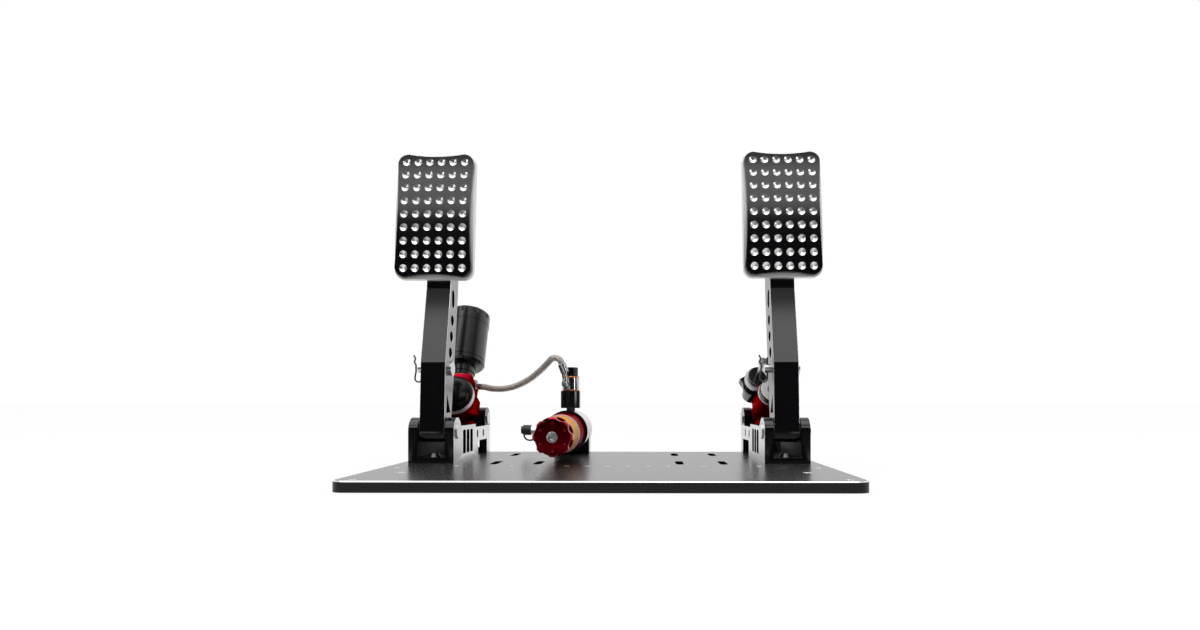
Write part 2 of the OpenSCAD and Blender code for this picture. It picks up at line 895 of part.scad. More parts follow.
module face_dimples() {
    ball_out = pad_curve_r + face_t - dimple_depth + dimple_ball_r;
    for (row = [0 : dimple_rows - 1], col = [0 : dimple_cols - 1])
        let (a = (row - (dimple_rows - 1) / 2) * dimple_pitch_z / pad_curve_r * 180 / PI)
            translate([(col - (dimple_cols - 1) / 2) * dimple_pitch_x,
                pad_curve_r - back_mid_t - ball_out * cos(a), pad_l / 2 + ball_out * sin(a)])
                sphere(dimple_ball_r);
}

module pad(side) {
    station(side)
        pad_frame()
            face_place(side)
                difference() {
                    intersection() {
                        pad_block(back_mid_t + face_t + cut)
                            face_outline();
                        bulge(pad_curve_r + face_t);
                    }
                    bulge(pad_curve_r);
                    face_dimples();
                }
}

module brake_pad() {
    color([0.06, 0.06, 0.07])
        pad(brake_side);
}

module throttle_pad() {
    color([0.06, 0.06, 0.07])
        pad(throttle_side);
}

module pad_screws(side) {
    station(side)
        pad_frame()
            for (z = pad_screw_places)
                translate([0, 0, z]) {
                    y_rod(pad_screw_d / 2, -pad_screw_bite, pad_screw_head_y);
                    difference() {
                        y_rod(pad_screw_head_d / 2, pad_screw_head_y, pad_screw_head_y + pad_screw_head_l - 1);
                        y_prism(5, 6, pad_screw_head_y + 2, pad_screw_head_y + pad_screw_head_l);
                    }
                }
}

module brake_pad_screws() {
    color([0.3, 0.3, 0.32])
        pad_screws(brake_side);
}

module throttle_pad_screws() {
    color([0.3, 0.3, 0.32])
        pad_screws(throttle_side);
}

// The brake's pin has its head inboard and the throttle's outboard
module clevis_frame(side) {
    station(side)
        translate([0, clevis_y, clevis_h])
            mirror([side > 0 ? 1 : 0, 0, 0])
                children();
}

module clevis_pin(side) {
    clevis_frame(side)
        difference() {
            union() {
                x_rod(clevis_pin_d / 2, -arm_t / 2 - clevis_tail, arm_t / 2);
                x_rod(clevis_pin_d / 2 + 2.5, arm_t / 2, arm_t / 2 + clevis_head_t);
            }
            translate([-clip_x, 0, -clevis_pin_d])
                cylinder(r = clip_hole_r, h = 2 * clevis_pin_d);
        }
}

module brake_clevis_pin() {
    color([0.8, 0.8, 0.82])
        clevis_pin(brake_side);
}

module throttle_clevis_pin() {
    color([0.8, 0.8, 0.82])
        clevis_pin(throttle_side);
}

// Hairpin clip: a straight leg through the pin, a loop below and a waved leg over the pin's end
module r_clip(side) {
    loop_r = 3.2;
    leg_low = -clevis_pin_d - 1;
    leg_top = clevis_pin_d + 2;
    over = clevis_tail - (clip_x - arm_t / 2) + 2 * clip_r + 1;
    points = concat(
        [[0, 0, leg_top], [0, 0, leg_top / 2], [0, 0, 0], [0, 0, leg_low]],
        [for (a = [30 : 30 : 180]) [-loop_r + loop_r * cos(a), 0, leg_low - loop_r * sin(a)]],
        [[-2 * loop_r + 0.4, 0, leg_low + 3], [-over, 0, -3], [-over, 0, 3], [-over - 1.5, 0, 6],
            [-over - 0.5, 0, 9], [-over - 2, 0, 12]]);
    clevis_frame(side)
        translate([-clip_x, 0, 0])
            tube(points, clip_r, 8, [0, 1, 0]);
}

module brake_r_clip() {
    color([0.85, 0.85, 0.87])
        r_clip(brake_side);
}

module throttle_r_clip() {
    color([0.85, 0.85, 0.87])
        r_clip(throttle_side);
}

// Brake master cylinder, leaning from the arm's clevis pin down to the rear pin

module rear_lug(front) {
    x_rod(lug_r, -lug_w / 2, lug_w / 2);
    translate([-lug_neck_w / 2, -front, -lug_r])
        cube([lug_neck_w, front, 2 * lug_r]);
}

module rear_bore() {
    x_rod(rear_pin_d / 2 + run_gap, -lug_w, lug_w);
}

module master_body() {
    color([0.65, 0.03, 0.07])
        station(brake_side)
            link_frame()
                difference() {
                    union() {
                        y_prism(master_af, 8, -master_front, -master_back);
                        rear_lug(master_back + cut);
                        translate([-port_w / 2, -res_place - port_l / 2, 0])
                            cube([port_w, port_l, port_top]);
                        translate([outlet_x, -outlet_place - outlet_r, 0])
                            cylinder(r = outlet_r, h = outlet_top);
                    }
                    rear_bore();
                    y_rod(master_bore_d / 2, -master_front - cut, -master_bore_end);
                    translate([0, -res_place, 0])
                        cylinder(r = 2, h = port_top + cut);
                }
}

module master_ring() {
    color([0.82, 0.82, 0.84])
        station(brake_side)
            link_frame()
                difference() {
                    y_rod(boot_d / 2 + 0.4, -master_front - ring_l, -master_front);
                    y_rod(boot_bore_r + 1, -master_front - ring_l - cut, -master_front + cut);
                }
}

module master_boot() {
    back = master_front + ring_l;
    color([0.05, 0.05, 0.06])
        station(brake_side)
            link_frame()
                translate([0, -back, 0])
                    rotate([90, 0, 0])
                        rotate_extrude()
                            polygon([
                                [boot_bore_r, 0], [boot_r, 0], [boot_r, 2], [boot_r - 1.5, 4], [boot_r - 6, 6.5],
                                [boot_r - 11, boot_l - 1], [boot_bore_r + 1, boot_l], [boot_bore_r, boot_l]
                            ]);
}

module outlet_frame() {
    station(brake_side)
        link_frame()
            translate([outlet_x, -outlet_place - outlet_r, outlet_top])
                children();
}

module outlet_washer() {
    color([0.85, 0.6, 0.15])
        outlet_frame()
            cylinder(r = outlet_r + 0.7, h = outlet_washer_t);
}

module outlet_fitting() {
    color([0.7, 0.71, 0.73])
        outlet_frame() {
            translate([0, 0, outlet_washer_t])
                cylinder(r = fitting_r, h = fitting_l);
            translate([0, 0, outlet_washer_t + fitting_l / 2])
                x_rod(fitting_l / 2 - 0.2, 0, fitting_reach - outlet_x);
            z_hex(7, outlet_washer_t + fitting_l, outlet_washer_t + fitting_l + 3);
        }
}

module reservoir_frame() {
    station(brake_side)
        link_frame()
            translate([0, -res_place, 0])
                children();
}

module reservoir_seal() {
    color([0.85, 0.4, 0.1])
        reservoir_frame()
            translate([0, 0, port_top])
                difference() {
                    cylinder(r = port_l / 2, h = seal_t);
                    translate([0, 0, -cut])
                        cylinder(r = 3, h = seal_t + 2 * cut);
                }
}

module reservoir_collar() {
    color([0.06, 0.06, 0.07])
        reservoir_frame()
            translate([0, 0, port_top + seal_t])
                difference() {
                    union() {
                        cylinder(d = collar_d - 2, h = collar_l);
                        translate([0, 0, collar_l / 3])
                            cylinder(d = collar_d, h = collar_l * 2 / 3);
                    }
                    translate([0, 0, -cut])
                        cylinder(r = 3, h = collar_l + 2 * cut);
                }
}

module reservoir() {
    r = reservoir_d / 2;
    color([0.05, 0.05, 0.06])
        reservoir_frame()
            translate([0, 0, res_bottom])
                difference() {
                    rotate_extrude()
                        polygon([
                            [0, 0], [r - 2, 0], [r, 2], [r, res_groove], [r - 0.6, res_groove + 0.3],
                            [r - 0.6, res_groove + 0.9], [r, res_groove + 1.2], [r, reservoir_l], [0, reservoir_l]
                        ]);
                    translate([0, 0, reservoir_wall])
                        cylinder(r = r - reservoir_wall, h = reservoir_l);
                    translate([0, 0, -cut])
                        cylinder(r = 3, h = reservoir_wall + 2 * cut);
                }
}

module reservoir_cap() {
    spigot_r = reservoir_d / 2 - reservoir_wall - run_gap;
    color([0.05, 0.05, 0.06])
        reservoir_frame()
            translate([0, 0, res_bottom + reservoir_l + free_gap]) {
                difference() {
                    rotate_extrude()
                        polygon([[0, 0], [cap_d / 2, 0], [cap_d / 2, cap_l - 1.5],
                            [cap_d / 2 - 1.5, cap_l], [0, cap_l]]);
                    for (i = [0 : cap_notches - 1])
                        rotate([0, 0, 360 / cap_notches * (i + 0.5)])
                            translate([cap_d / 2 + cap_notch_r - 1.6, 0, cap_l / 2])
                                cylinder(r = cap_notch_r, h = cap_l);
                }
                translate([0, 0, -cap_spigot_l])
                    cylinder(r = spigot_r, h = cap_spigot_l);
            }
}

// Rod with an eye on the clevis pin; the eye's bore leaves the linkage open there
module eye_rod(rod_back) {
    difference() {
        union() {
            translate([0, -link_l, 0])
                x_rod(eye_r, -eye_w / 2, eye_w / 2);
            y_rod(pushrod_d / 2, -link_l + clevis_pin_d / 2 + 1, -rod_back);
            y_prism(jam_nut_af, 6, jam_nut_y, jam_nut_y + jam_nut_l);
        }
        translate([0, -link_l, 0])
            x_rod(clevis_pin_d / 2 + open_gap, -eye_w, eye_w);
    }
}

module master_pushrod() {
    color([0.75, 0.76, 0.78])
        station(brake_side)
            link_frame()
                eye_rod(master_front - free_gap);
}

module master_piston() {
    color([0.8, 0.8, 0.82])
        station(brake_side)
            link_frame()
                difference() {
                    y_rod(master_bore_d / 2 - run_gap, piston_y, piston_y + piston_l);
                    difference() {
                        y_rod(master_bore_d, piston_y + 4, piston_y + 6);
                        y_rod(master_bore_d / 2 - 2, piston_y + 3, piston_y + 7);
                    }
                }
}

module master_seal() {
    color([0.1, 0.1, 0.1])
        station(brake_side)
            link_frame()
                difference() {
                    y_rod(master_bore_d / 2 - run_gap / 2, piston_y + 4, piston_y + 6);
                    y_rod(master_bore_d / 2 - 2 + seat_gap, piston_y + 3, piston_y + 7);
                }
}

module master_spring() {
    color([0.7, 0.7, 0.72])
        station(brake_side)
            link_frame()
                coil(master_bore_d / 2 - 2, spring_wire_d,
                    piston_y + piston_l + run_gap, -master_bore_end - seat_gap);
}

// Throttle unit: spring cylinder with a position sensor beside it

module throttle_cylinder() {
    color([0.65, 0.03, 0.07])
        station(throttle_side)
            link_frame()
                difference() {
                    union() {
                        y_prism(throttle_af, 6, -throttle_front, -throttle_back);
                        rear_lug(throttle_back + cut);
                    }
                    rear_bore();
                    y_rod(throttle_bore_d / 2, -throttle_front - cut, -throttle_bore_end);
                }
}

module throttle_ring(r, y0, l) {
    difference() {
        y_rod(r, y0, y0 + l);
        y_rod(pushrod_d / 2 + 2, y0 - cut, y0 + l + cut);
    }
}

module throttle_rings() {
    color([0.8, 0.82, 0.7])
        station(throttle_side)
            link_frame() {
                throttle_ring(throttle_af / 2 + 0.8, -throttle_front - throttle_ring_t, throttle_ring_t);
                throttle_ring(throttle_af / 2 - 0.6,
                    -throttle_front - throttle_ring_t - throttle_cap_l - o_ring_t, o_ring_t);
            }
}

module throttle_cap() {
    y0 = -throttle_front - throttle_ring_t - throttle_cap_l;
    color([0.06, 0.06, 0.07])
        station(throttle_side)
            link_frame()
                difference() {
                    y_rod(throttle_af / 2 + 0.2, y0, y0 + throttle_cap_l);
                    y_rod(pushrod_d / 2 + run_gap, y0 - cut, y0 + throttle_cap_l + cut);
                }
}

module throttle_spring() {
    color([0.7, 0.7, 0.72])
        station(throttle_side)
            link_frame()
                coil(throttle_bore_d / 2 - 2, spring_wire_d,
                    spring_seat_y + spring_seat_l + run_gap, -throttle_bore_end - seat_gap);
}

// Frame on the cylinder's upper inboard flat, with Z out of the flat
module sensor_frame() {
    station(throttle_side)
        link_frame()
            rotate([0, 30, 0])
                children();
}

module position_sensor() {
    color([0.05, 0.05, 0.06])
        sensor_frame()
            translate([0, 0, sensor_reach])
                difference() {
                    union() {
                        y_rod(sensor_d / 2, -sensor_front, -sensor_back);
                        translate([-sensor_plug[0] / 2, -sensor_back - sensor_plug[1] - 2, 0])
                            cube([sensor_plug[0], sensor_plug[1], sensor_d / 2 + sensor_plug[2]]);
                    }
                    y_rod(sensor_rod_d / 2 + run_gap, -sensor_front - cut, -sensor_back - sensor_wall);
                }
}

module sensor_clamp() {
    color([0.8, 0.81, 0.83])
        sensor_frame()
            for (place = clamp_places)
                difference() {
                    union() {
                        translate([-clamp_w / 2, -place, throttle_af / 2])
                            cube([clamp_w, clamp_l, sensor_reach - throttle_af / 2]);
                        translate([0, 0, sensor_reach])
                            y_rod(sensor_d / 2 + clamp_wall, -place, -place + clamp_l);
                    }
                    translate([0, 0, sensor_reach])
                        y_rod(sensor_d / 2 + seat_gap, -place - cut, -place + clamp_l + cut);
                    translate([-sensor_d, -place - cut, 0])
                        cube([2 * sensor_d, clamp_l + 2 * cut, throttle_af / 2]);
                }
}

module throttle_pushrod() {
    color([0.75, 0.76, 0.78])
        station(throttle_side)
            link_frame() {
                eye_rod(-spring_seat_y - spring_seat_l);
                y_rod(throttle_bore_d / 2 - run_gap, spring_seat_y, spring_seat_y + spring_seat_l);
            }
}

module sensor_rod() {
    link_y = -sensor_link_place;
    color([0.75, 0.76, 0.78])
        sensor_frame() {
            translate([0, 0, sensor_reach])
                y_rod(sensor_rod_d / 2, link_y, -sensor_front + 24);
            difference() {
                translate([0, link_y, 0])
                    rotate([90, 0, 0])
                        linear_extrude(sensor_link_t) {
                            circle(pushrod_d / 2 + 3);
                            translate([0, sensor_reach])
                                circle(sensor_rod_d / 2 + 2);
                            translate([-sensor_rod_d / 2 - 2, 0])
                                square([sensor_rod_d + 4, sensor_reach]);
                        }
                y_rod(pushrod_d / 2 + seat_gap, link_y - sensor_link_t - cut, link_y + cut);
            }
        }
}

// Slave cylinder with its elastomer stack, on the plate between the pedals

module slave_saddle() {
    color([0.06, 0.06, 0.07])
        difference() {
            translate([slave_x - saddle_w / 2, saddle_y, plate_t])
                cube([saddle_w, saddle_l, slave_h]);
            slave_frame()
                y_rod(slave_d / 2 + seat_gap, saddle_y - cut, saddle_y + saddle_l + cut);
            for (dy = [-1, 1])
                translate([slave_x, saddle_y + saddle_l / 2 + dy * saddle_screw_dy, plate_t - cut])
                    cylinder(d = saddle_screw_d + 2 * seat_gap, h = slave_h);
        }
}

module saddle_screws() {
    color([0.3, 0.3, 0.32])
        for (dy = [-1, 1])
            translate([slave_x, saddle_y + saddle_l / 2 + dy * saddle_screw_dy, 0]) {
                translate([0, 0, 1])
                    cylinder(d = saddle_screw_head_d, h = saddle_screw_head_l - 1);
                translate([0, 0, saddle_screw_head_l])
                    cylinder(d = saddle_screw_d, h = saddle_screw_l);
            }
}

module slave_body() {
    color([0.88, 0.87, 0.85])
        slave_frame()
            difference() {
                y_rod(slave_d / 2, slave_y, slave_y + slave_l);
                y_rod(slave_bore_d / 2, slave_y - cut, slave_y + slave_l - slave_end_wall);
                y_rod(tie_rod_d / 2 + seat_gap, slave_y, slave_y + slave_l + cut);
                translate([0, port_y, slave_d / 2 - adapter_seat])
                    cylinder(r = adapter_neck_r + seat_gap, h = adapter_seat + cut);
                translate([0, port_y, 0])
                    cylinder(r = 1.5, h = slave_d);
                translate([0, port_y, 0])
                    x_rod(nipple_r + seat_gap, -slave_d, -slave_bore_d / 2 + 2);
            }
}

module slave_gland() {
    color([0.06, 0.06, 0.07])
        slave_frame()
            difference() {
                y_rod(gland_d / 2, gland_y, gland_y + gland_l);
                y_rod(piston_tube_r + run_gap, gland_y - cut, gland_y + gland_l + cut);
            }
}

module slave_tie_rod() {
    color([0.75, 0.75, 0.76])
        slave_frame()
            difference() {
                y_rod(tie_rod_d / 2, knob_front_y - tie_rod_front, slave_y + slave_l - 1);
                y_prism(tie_rod_d / 2, 6, knob_front_y - tie_rod_front - cut, knob_front_y + 2);
            }
}

module elastomer() {
    color([0.95, 0.55, 0.1])
        slave_frame()
            difference() {
                y_rod(elastomer_d / 2, elastomer_y, elastomer_y + elastomer_l);
                y_rod(tie_rod_d / 2 + seat_gap, elastomer_y - cut, elastomer_y + elastomer_l + cut);
            }
}

module cup_washer() {
    color([0.9, 0.88, 0.84])
        slave_frame()
            difference() {
                y_rod(cup_d / 2 - 0.6, washer_y, washer_y + washer_l);
                y_rod(tie_rod_d / 2 + run_gap, washer_y - cut, washer_y + washer_l + cut);
            }
}

module pressure_cup() {
    color([0.65, 0.03, 0.07])
        slave_frame()
            difference() {
                y_rod(cup_d / 2, cup_y, cup_y + cup_l);
                y_rod(tie_rod_d / 2 + run_gap, cup_y - cut, cup_y + cup_l + cut);
                for (y = [cup_y + 8, cup_y + cup_l - 11])
                    difference() {
                        y_rod(cup_d, y, y + cup_groove_l);
                        y_rod(cup_d / 2 - cup_groove_depth, y - cut, y + cup_groove_l + cut);
                    }
            }
}

module slave_piston() {
    seal_y = slave_piston_y + slave_piston_l / 2;
    color([0.8, 0.8, 0.82])
        slave_frame()
            difference() {
                union() {
                    y_rod(piston_tube_r, cup_y + cup_l, slave_piston_y + cut);
                    y_rod(slave_bore_d / 2 - run_gap, slave_piston_y, slave_piston_y + slave_piston_l);
                }
                y_rod(tie_rod_d / 2 + run_gap, cup_y + cup_l - cut, slave_piston_y + slave_piston_l + cut);
                difference() {
                    y_rod(slave_bore_d, seal_y - 1.5, seal_y + 1.5);
                    y_rod(slave_bore_d / 2 - 3, seal_y - 2, seal_y + 2);
                }
            }
}

module slave_piston_seal() {
    seal_y = slave_piston_y + slave_piston_l / 2;
    color([0.1, 0.1, 0.1])
        slave_frame()
            difference() {
                y_rod(slave_bore_d / 2 - run_gap / 2, seal_y - 1.5, seal_y + 1.5);
                y_rod(slave_bore_d / 2 - 3 + seat_gap, seal_y - 2, seal_y + 2);
            }
}

module adjust_knob() {
    color([0.6, 0.02, 0.06])
        slave_frame()
            difference() {
                translate([0, knob_front_y, 0])
                    rotate([-90, 0, 0])
                        rotate_extrude()
                            polygon([
                                [0, 0], [knob_d / 2 - 1.5, 0], [knob_d / 2, 1.5], [knob_d / 2, knob_l - 1],
                                [knob_d / 2 - 1, knob_l], [0, knob_l]
                            ]);
                y_rod(tie_rod_d / 2 + run_gap, knob_front_y - cut, knob_back_y + cut);
                for (i = [0 : knob_lobes - 1])
                    rotate([0, 360 / knob_lobes * (i + 0.5), 0])
                        translate([knob_d / 2 + knob_lobe_r - knob_lobe_depth, 0, 0])
                            y_rod(knob_lobe_r, knob_front_y - cut, knob_back_y - 4);
                for (i = [0 : knob_dimples - 1])
                    rotate([0, 30 + 360 / knob_dimples * i, 0])
                        translate([knob_dimple_ring, 0, 0])
                            y_rod(knob_dimple_r, knob_front_y - cut, knob_front_y + 1.2);
            }
}

module bleed_nipple() {
    color([0.8, 0.8, 0.82])
        slave_frame()
            translate([0, port_y, 0])
                difference() {
                    union() {
                        x_rod(nipple_r, -slave_d / 2 - nipple_l, -slave_bore_d / 2 - 1);
                        translate([bleed_mouth + free_gap, 0, 0])
                            rotate([0, 90, 0])
                                rotate([0, 0, 30])
                                    cylinder(r = nipple_hex_af / 2 / cos(30), h = nipple_hex_l, $fn = 6);
                    }
                    x_rod(0.8, -slave_d / 2 - nipple_l - cut, -slave_d / 2 - 4);
                }
}

module bleed_cap() {
    color([0.05, 0.05, 0.05])
        slave_frame()
            translate([0, port_y, 0]) {
                difference() {
                    union() {
                        x_rod(bleed_cap_r, bleed_mouth - bleed_cap_l, bleed_mouth);
                        x_rod(bleed_cap_r - 1.2, bleed_mouth - bleed_cap_l - 2, bleed_mouth);
                    }
                    x_rod(nipple_r + seat_gap, bleed_mouth - bleed_cap_bite, bleed_mouth + cut);
                }
            }
}

module hose_adapter() {
    color([0.07, 0.07, 0.08])
        slave_frame()
            translate([0, port_y, 0])
                difference() {
                    union() {
                        translate([0, 0, slave_d / 2 - adapter_seat])
                            cylinder(r = adapter_neck_r, h = adapter_neck_l + adapter_seat + cut);
                        z_hex(adapter_af, adapter_bottom, adapter_top);
                    }
                    translate([0, 0, adapter_top - bolt_bite - 1])
                        cylinder(r = banjo_bolt_r, h = bolt_bite + 1 + cut);
                    cylinder(r = 1.5, h = adapter_top);
                }
}

module copper_washers() {
    color([0.72, 0.4, 0.2])
        slave_frame()
            for (z = [adapter_top, banjo_top])
                translate([0, port_y, z])
                    difference() {
                        cylinder(r = copper_r, h = copper_t);
                        translate([0, 0, -cut])
                            cylinder(r = banjo_bolt_r, h = copper_t + 2 * cut);
                    }
}

module banjo_bolt() {
    color([0.08, 0.08, 0.09])
        slave_frame()
            translate([0, port_y, 0]) {
                translate([0, 0, adapter_top - bolt_bite])
                    cylinder(r = banjo_bolt_r - seat_gap, h = bolt_bite + banjo_l + 2 * copper_t + cut);
                rotate([0, 0, 30])
                    z_hex(bolt_head_af, banjo_top + copper_t, banjo_top + copper_t + bolt_head_l);
            }
}

// Banjo with its bent neck and the crimp on the hose's end
module banjo_fitting() {
    ring_mid = [slave_x, port_y, plate_t + slave_h + (banjo_bottom + banjo_top) / 2];
    neck_run = [crimp_start[0] - slave_x, crimp_start[1] - port_y, 0];
    elbow = ring_mid + neck_run / norm(neck_run) * banjo_elbow_reach;
    knuckle_axis = unit(cross(neck_run, [0, 0, 1])) * banjo_neck_r;
    color([0.82, 0.82, 0.84])
        difference() {
            union() {
                slave_frame()
                    translate([0, port_y, banjo_bottom])
                        cylinder(r = banjo_r, h = banjo_l);
                rod_between(ring_mid, elbow, banjo_neck_r);
                rod_between(elbow - knuckle_axis, elbow + knuckle_axis, banjo_neck_r + banjo_knuckle);
                rod_between(elbow, crimp_start + (ferrule_end - crimp_start) / 3, banjo_neck_r);
                rod_between(crimp_start, ferrule_end, ferrule_r);
            }
            slave_frame()
                translate([0, port_y, banjo_bottom - cut])
                    cylinder(r = banjo_bolt_r, h = banjo_l + 2 * cut);
        }
}

module brake_hose() {
    color([0.72, 0.7, 0.67])
        tube(hose_route, hose_d / 2, hose_sides, [0, 1, 0.2]);
}

base_plate();
brake_bracket();
throttle_bracket();
bracket_screws();
pivot_pins();
rear_pins();
retaining_rings();
slave_saddle();
saddle_screws();
slave_body();
slave_gland();
slave_tie_rod();
elastomer();
bleed_nipple();
bleed_cap();
hose_adapter();
banjo_fitting();
banjo_bolt();
copper_washers();
brake_hose();
slave_piston();
slave_piston_seal();
pressure_cup();
cup_washer();
adjust_knob();
brake_arm();
brake_bushes();
brake_pad_back();
brake_pad();
brake_pad_screws();
brake_clevis_pin();
brake_r_clip();
throttle_arm();
throttle_bushes();
throttle_pad_back();
throttle_pad();
throttle_pad_screws();
throttle_clevis_pin();
throttle_r_clip();
master_body();
master_boot();
master_ring();
outlet_washer();
outlet_fitting();
reservoir_seal();
reservoir_collar();
reservoir();
reservoir_cap();
master_pushrod();
master_piston();
master_seal();
master_spring();
throttle_cylinder();
throttle_cap();
throttle_rings();
throttle_spring();
position_sensor();
sensor_clamp();
throttle_pushrod();
sensor_rod();
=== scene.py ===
import json
import math

import bmesh
import bpy
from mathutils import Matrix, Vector


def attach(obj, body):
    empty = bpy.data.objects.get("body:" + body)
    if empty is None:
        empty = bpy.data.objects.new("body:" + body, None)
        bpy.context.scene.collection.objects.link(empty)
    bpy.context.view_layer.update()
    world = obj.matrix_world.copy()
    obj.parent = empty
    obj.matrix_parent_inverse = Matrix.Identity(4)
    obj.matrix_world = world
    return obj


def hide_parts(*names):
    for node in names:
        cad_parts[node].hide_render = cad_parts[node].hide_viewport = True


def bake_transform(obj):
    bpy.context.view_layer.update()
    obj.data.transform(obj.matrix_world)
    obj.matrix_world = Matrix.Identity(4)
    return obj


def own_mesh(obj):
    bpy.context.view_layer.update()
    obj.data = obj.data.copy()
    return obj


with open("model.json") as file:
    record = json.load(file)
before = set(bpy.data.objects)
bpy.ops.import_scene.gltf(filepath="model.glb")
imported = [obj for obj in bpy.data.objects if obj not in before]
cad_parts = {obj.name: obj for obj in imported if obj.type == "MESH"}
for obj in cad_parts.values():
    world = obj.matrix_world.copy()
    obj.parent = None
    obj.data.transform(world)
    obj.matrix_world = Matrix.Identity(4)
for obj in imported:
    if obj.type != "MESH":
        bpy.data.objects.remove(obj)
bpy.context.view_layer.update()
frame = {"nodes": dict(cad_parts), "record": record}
nodes = frame["nodes"]


# Studio
# A level camera a little right of the middle, low over a white floor before a white wall.
# The hall in front is dim and its floor unlit, so black pieces mirror little and stay black, while
# the camera sees white on every side. A soft sun and three boxes light the set.
CAMERA_PLACE = (0.029, -0.5716, 0.0616)
CAMERA_TURN = math.radians(0.59)
WALL_RISE = (-0.3, 0.35)
CEILING_RISE = (0.5, 0.95)
HALL_TONE = 0.015
ROOM_LIGHT = 0.8
FLOOR_HALF = 30.0
FLOOR_DROP = 0.0002
FLOOR_RISE = (-0.45, 0.0)
FLOOR_TONE = 0.92
FLOOR_DARK = 0.05
FLOOR_GLOW = 0.88
scene = bpy.context.scene
scene.view_settings.view_transform = "Standard"

camera_data = bpy.data.cameras.new("camera")
camera_data.lens = 19.5
camera_data.sensor_width = 36.0
camera_data.shift_x = -0.0294
camera_data.shift_y = 0.0726
camera_data.clip_start = 0.01
camera = bpy.data.objects.new("camera", camera_data)
camera.location = CAMERA_PLACE
camera.rotation_euler = (math.radians(90), 0, CAMERA_TURN)
scene.collection.objects.link(camera)
scene.camera = camera


def joined(tree, operation, first, second):
    """A math node on two sockets, or on a socket and a number."""
    node = tree.nodes.new("ShaderNodeMath")
    node.operation = operation
    for place, value in enumerate((first, second)):
        if isinstance(value, (int, float)):
            node.inputs[place].default_value = value
        else:
            tree.links.new(value, node.inputs[place])
    return node.outputs[0]


def ramp(tree, value, start, end, low, high):
    """A socket's value taken from one range to another, with soft ends."""
    node = tree.nodes.new("ShaderNodeMapRange")
    node.interpolation_type = "SMOOTHSTEP"
    node.inputs["From Min"].default_value = start
    node.inputs["From Max"].default_value = end
    node.inputs["To Min"].default_value = low
    node.inputs["To Max"].default_value = high
    tree.links.new(value, node.inputs["Value"])
    return node.outputs["Result"]


def seen_ray(tree):
    """Two sockets: one for a ray from the camera, a mirror or glass, and one for the camera alone."""
    path = tree.nodes.new("ShaderNodeLightPath")
    from_camera = path.outputs["Is Camera Ray"]
    mirrored = joined(tree, "MAXIMUM", path.outputs["Is Glossy Ray"],
                      path.outputs["Is Transmission Ray"])
    return joined(tree, "MAXIMUM", from_camera, mirrored), from_camera


world = bpy.data.worlds.new("studio")
world.use_nodes = True
room_tree = world.node_tree
room = room_tree.nodes["Background"]
room_aim = room_tree.nodes.new("ShaderNodeTexCoord")
room_split = room_tree.nodes.new("ShaderNodeSeparateXYZ")
room_tree.links.new(room_aim.outputs["Generated"], room_split.inputs["Vector"])
wall_behind = ramp(room_tree, room_split.outputs["Y"], *WALL_RISE, HALL_TONE, 1.0)
ceiling = ramp(room_tree, room_split.outputs["Z"], *CEILING_RISE, 0.0, 1.0)
pale = joined(room_tree, "MAXIMUM", wall_behind, ceiling)
room_seen, room_camera = seen_ray(room_tree)
room_tone = joined(room_tree, "MAXIMUM", pale, room_camera)
room_strength = ramp(room_tree, room_seen, 0.0, 1.0, ROOM_LIGHT, 1.0)
room_tree.links.new(room_tone, room.inputs["Color"])
room_tree.links.new(room_strength, room.inputs["Strength"])
scene.world = world


def soft_box(name, place, aim, size, watts):
    """An oblong lamp at a place, turned to what it aims at."""
    light = bpy.data.lights.new(name, "AREA")
    light.shape = "RECTANGLE"
    light.size, light.size_y = size
    light.energy = watts
    lamp = bpy.data.objects.new(name, light)
    lamp.location = place
    lamp.rotation_euler = (Vector(aim) - Vector(place)).to_track_quat("-Z", "Y").to_euler()
    scene.collection.objects.link(lamp)


soft_box("box_front", (0.0, -3.84, 2.99), (0.0, 0.0, 0.13), (7.0, 1.24), 62.0)
soft_box("strip_left", (-1.3, -0.8, 0.5), (-0.1, 0.05, 0.1), (0.16, 0.9), 2.5)
soft_box("strip_right", (1.2, -0.7, 0.5), (0.0, 0.05, 0.1), (0.16, 0.9), 2.5)
sun_light = bpy.data.lights.new("soft_sun", "SUN")
sun_light.energy = 1.2
sun_light.angle = math.radians(60)
sun = bpy.data.objects.new("soft_sun", sun_light)
sun.rotation_euler = (math.radians(12), math.radians(-8), 0)
scene.collection.objects.link(sun)

floor_shape = bmesh.new()
bmesh.ops.create_grid(floor_shape, x_segments=1, y_segments=1, size=FLOOR_HALF)
floor_mesh = bpy.data.meshes.new("floor")
floor_shape.to_mesh(floor_mesh)
floor_shape.free()
floor = bpy.data.objects.new("floor", floor_mesh)
floor.location = (0, 0, -FLOOR_DROP)
scene.collection.objects.link(floor)
paper = bpy.data.materials.new("white_paper")
paper.use_nodes = True
paper_tree = paper.node_tree
paper_tree.nodes.remove(paper_tree.nodes["Principled BSDF"])
paper_matt = paper_tree.nodes.new("ShaderNodeBsdfDiffuse")
paper_glow = paper_tree.nodes.new("ShaderNodeEmission")
paper_mix = paper_tree.nodes.new("ShaderNodeMixShader")
paper_place = paper_tree.nodes.new("ShaderNodeTexCoord")
paper_split = paper_tree.nodes.new("ShaderNodeSeparateXYZ")
paper_tree.links.new(paper_place.outputs["Object"], paper_split.inputs["Vector"])
paper_seen, paper_camera = seen_ray(paper_tree)
paper_back = ramp(paper_tree, paper_split.outputs["Y"], *FLOOR_RISE, FLOOR_DARK, 1.0)
paper_lit = joined(paper_tree, "MAXIMUM", paper_camera, paper_back)
paper_tone = joined(paper_tree, "MULTIPLY", paper_lit, FLOOR_TONE)
paper_share = joined(paper_tree, "MULTIPLY", paper_seen, FLOOR_GLOW)
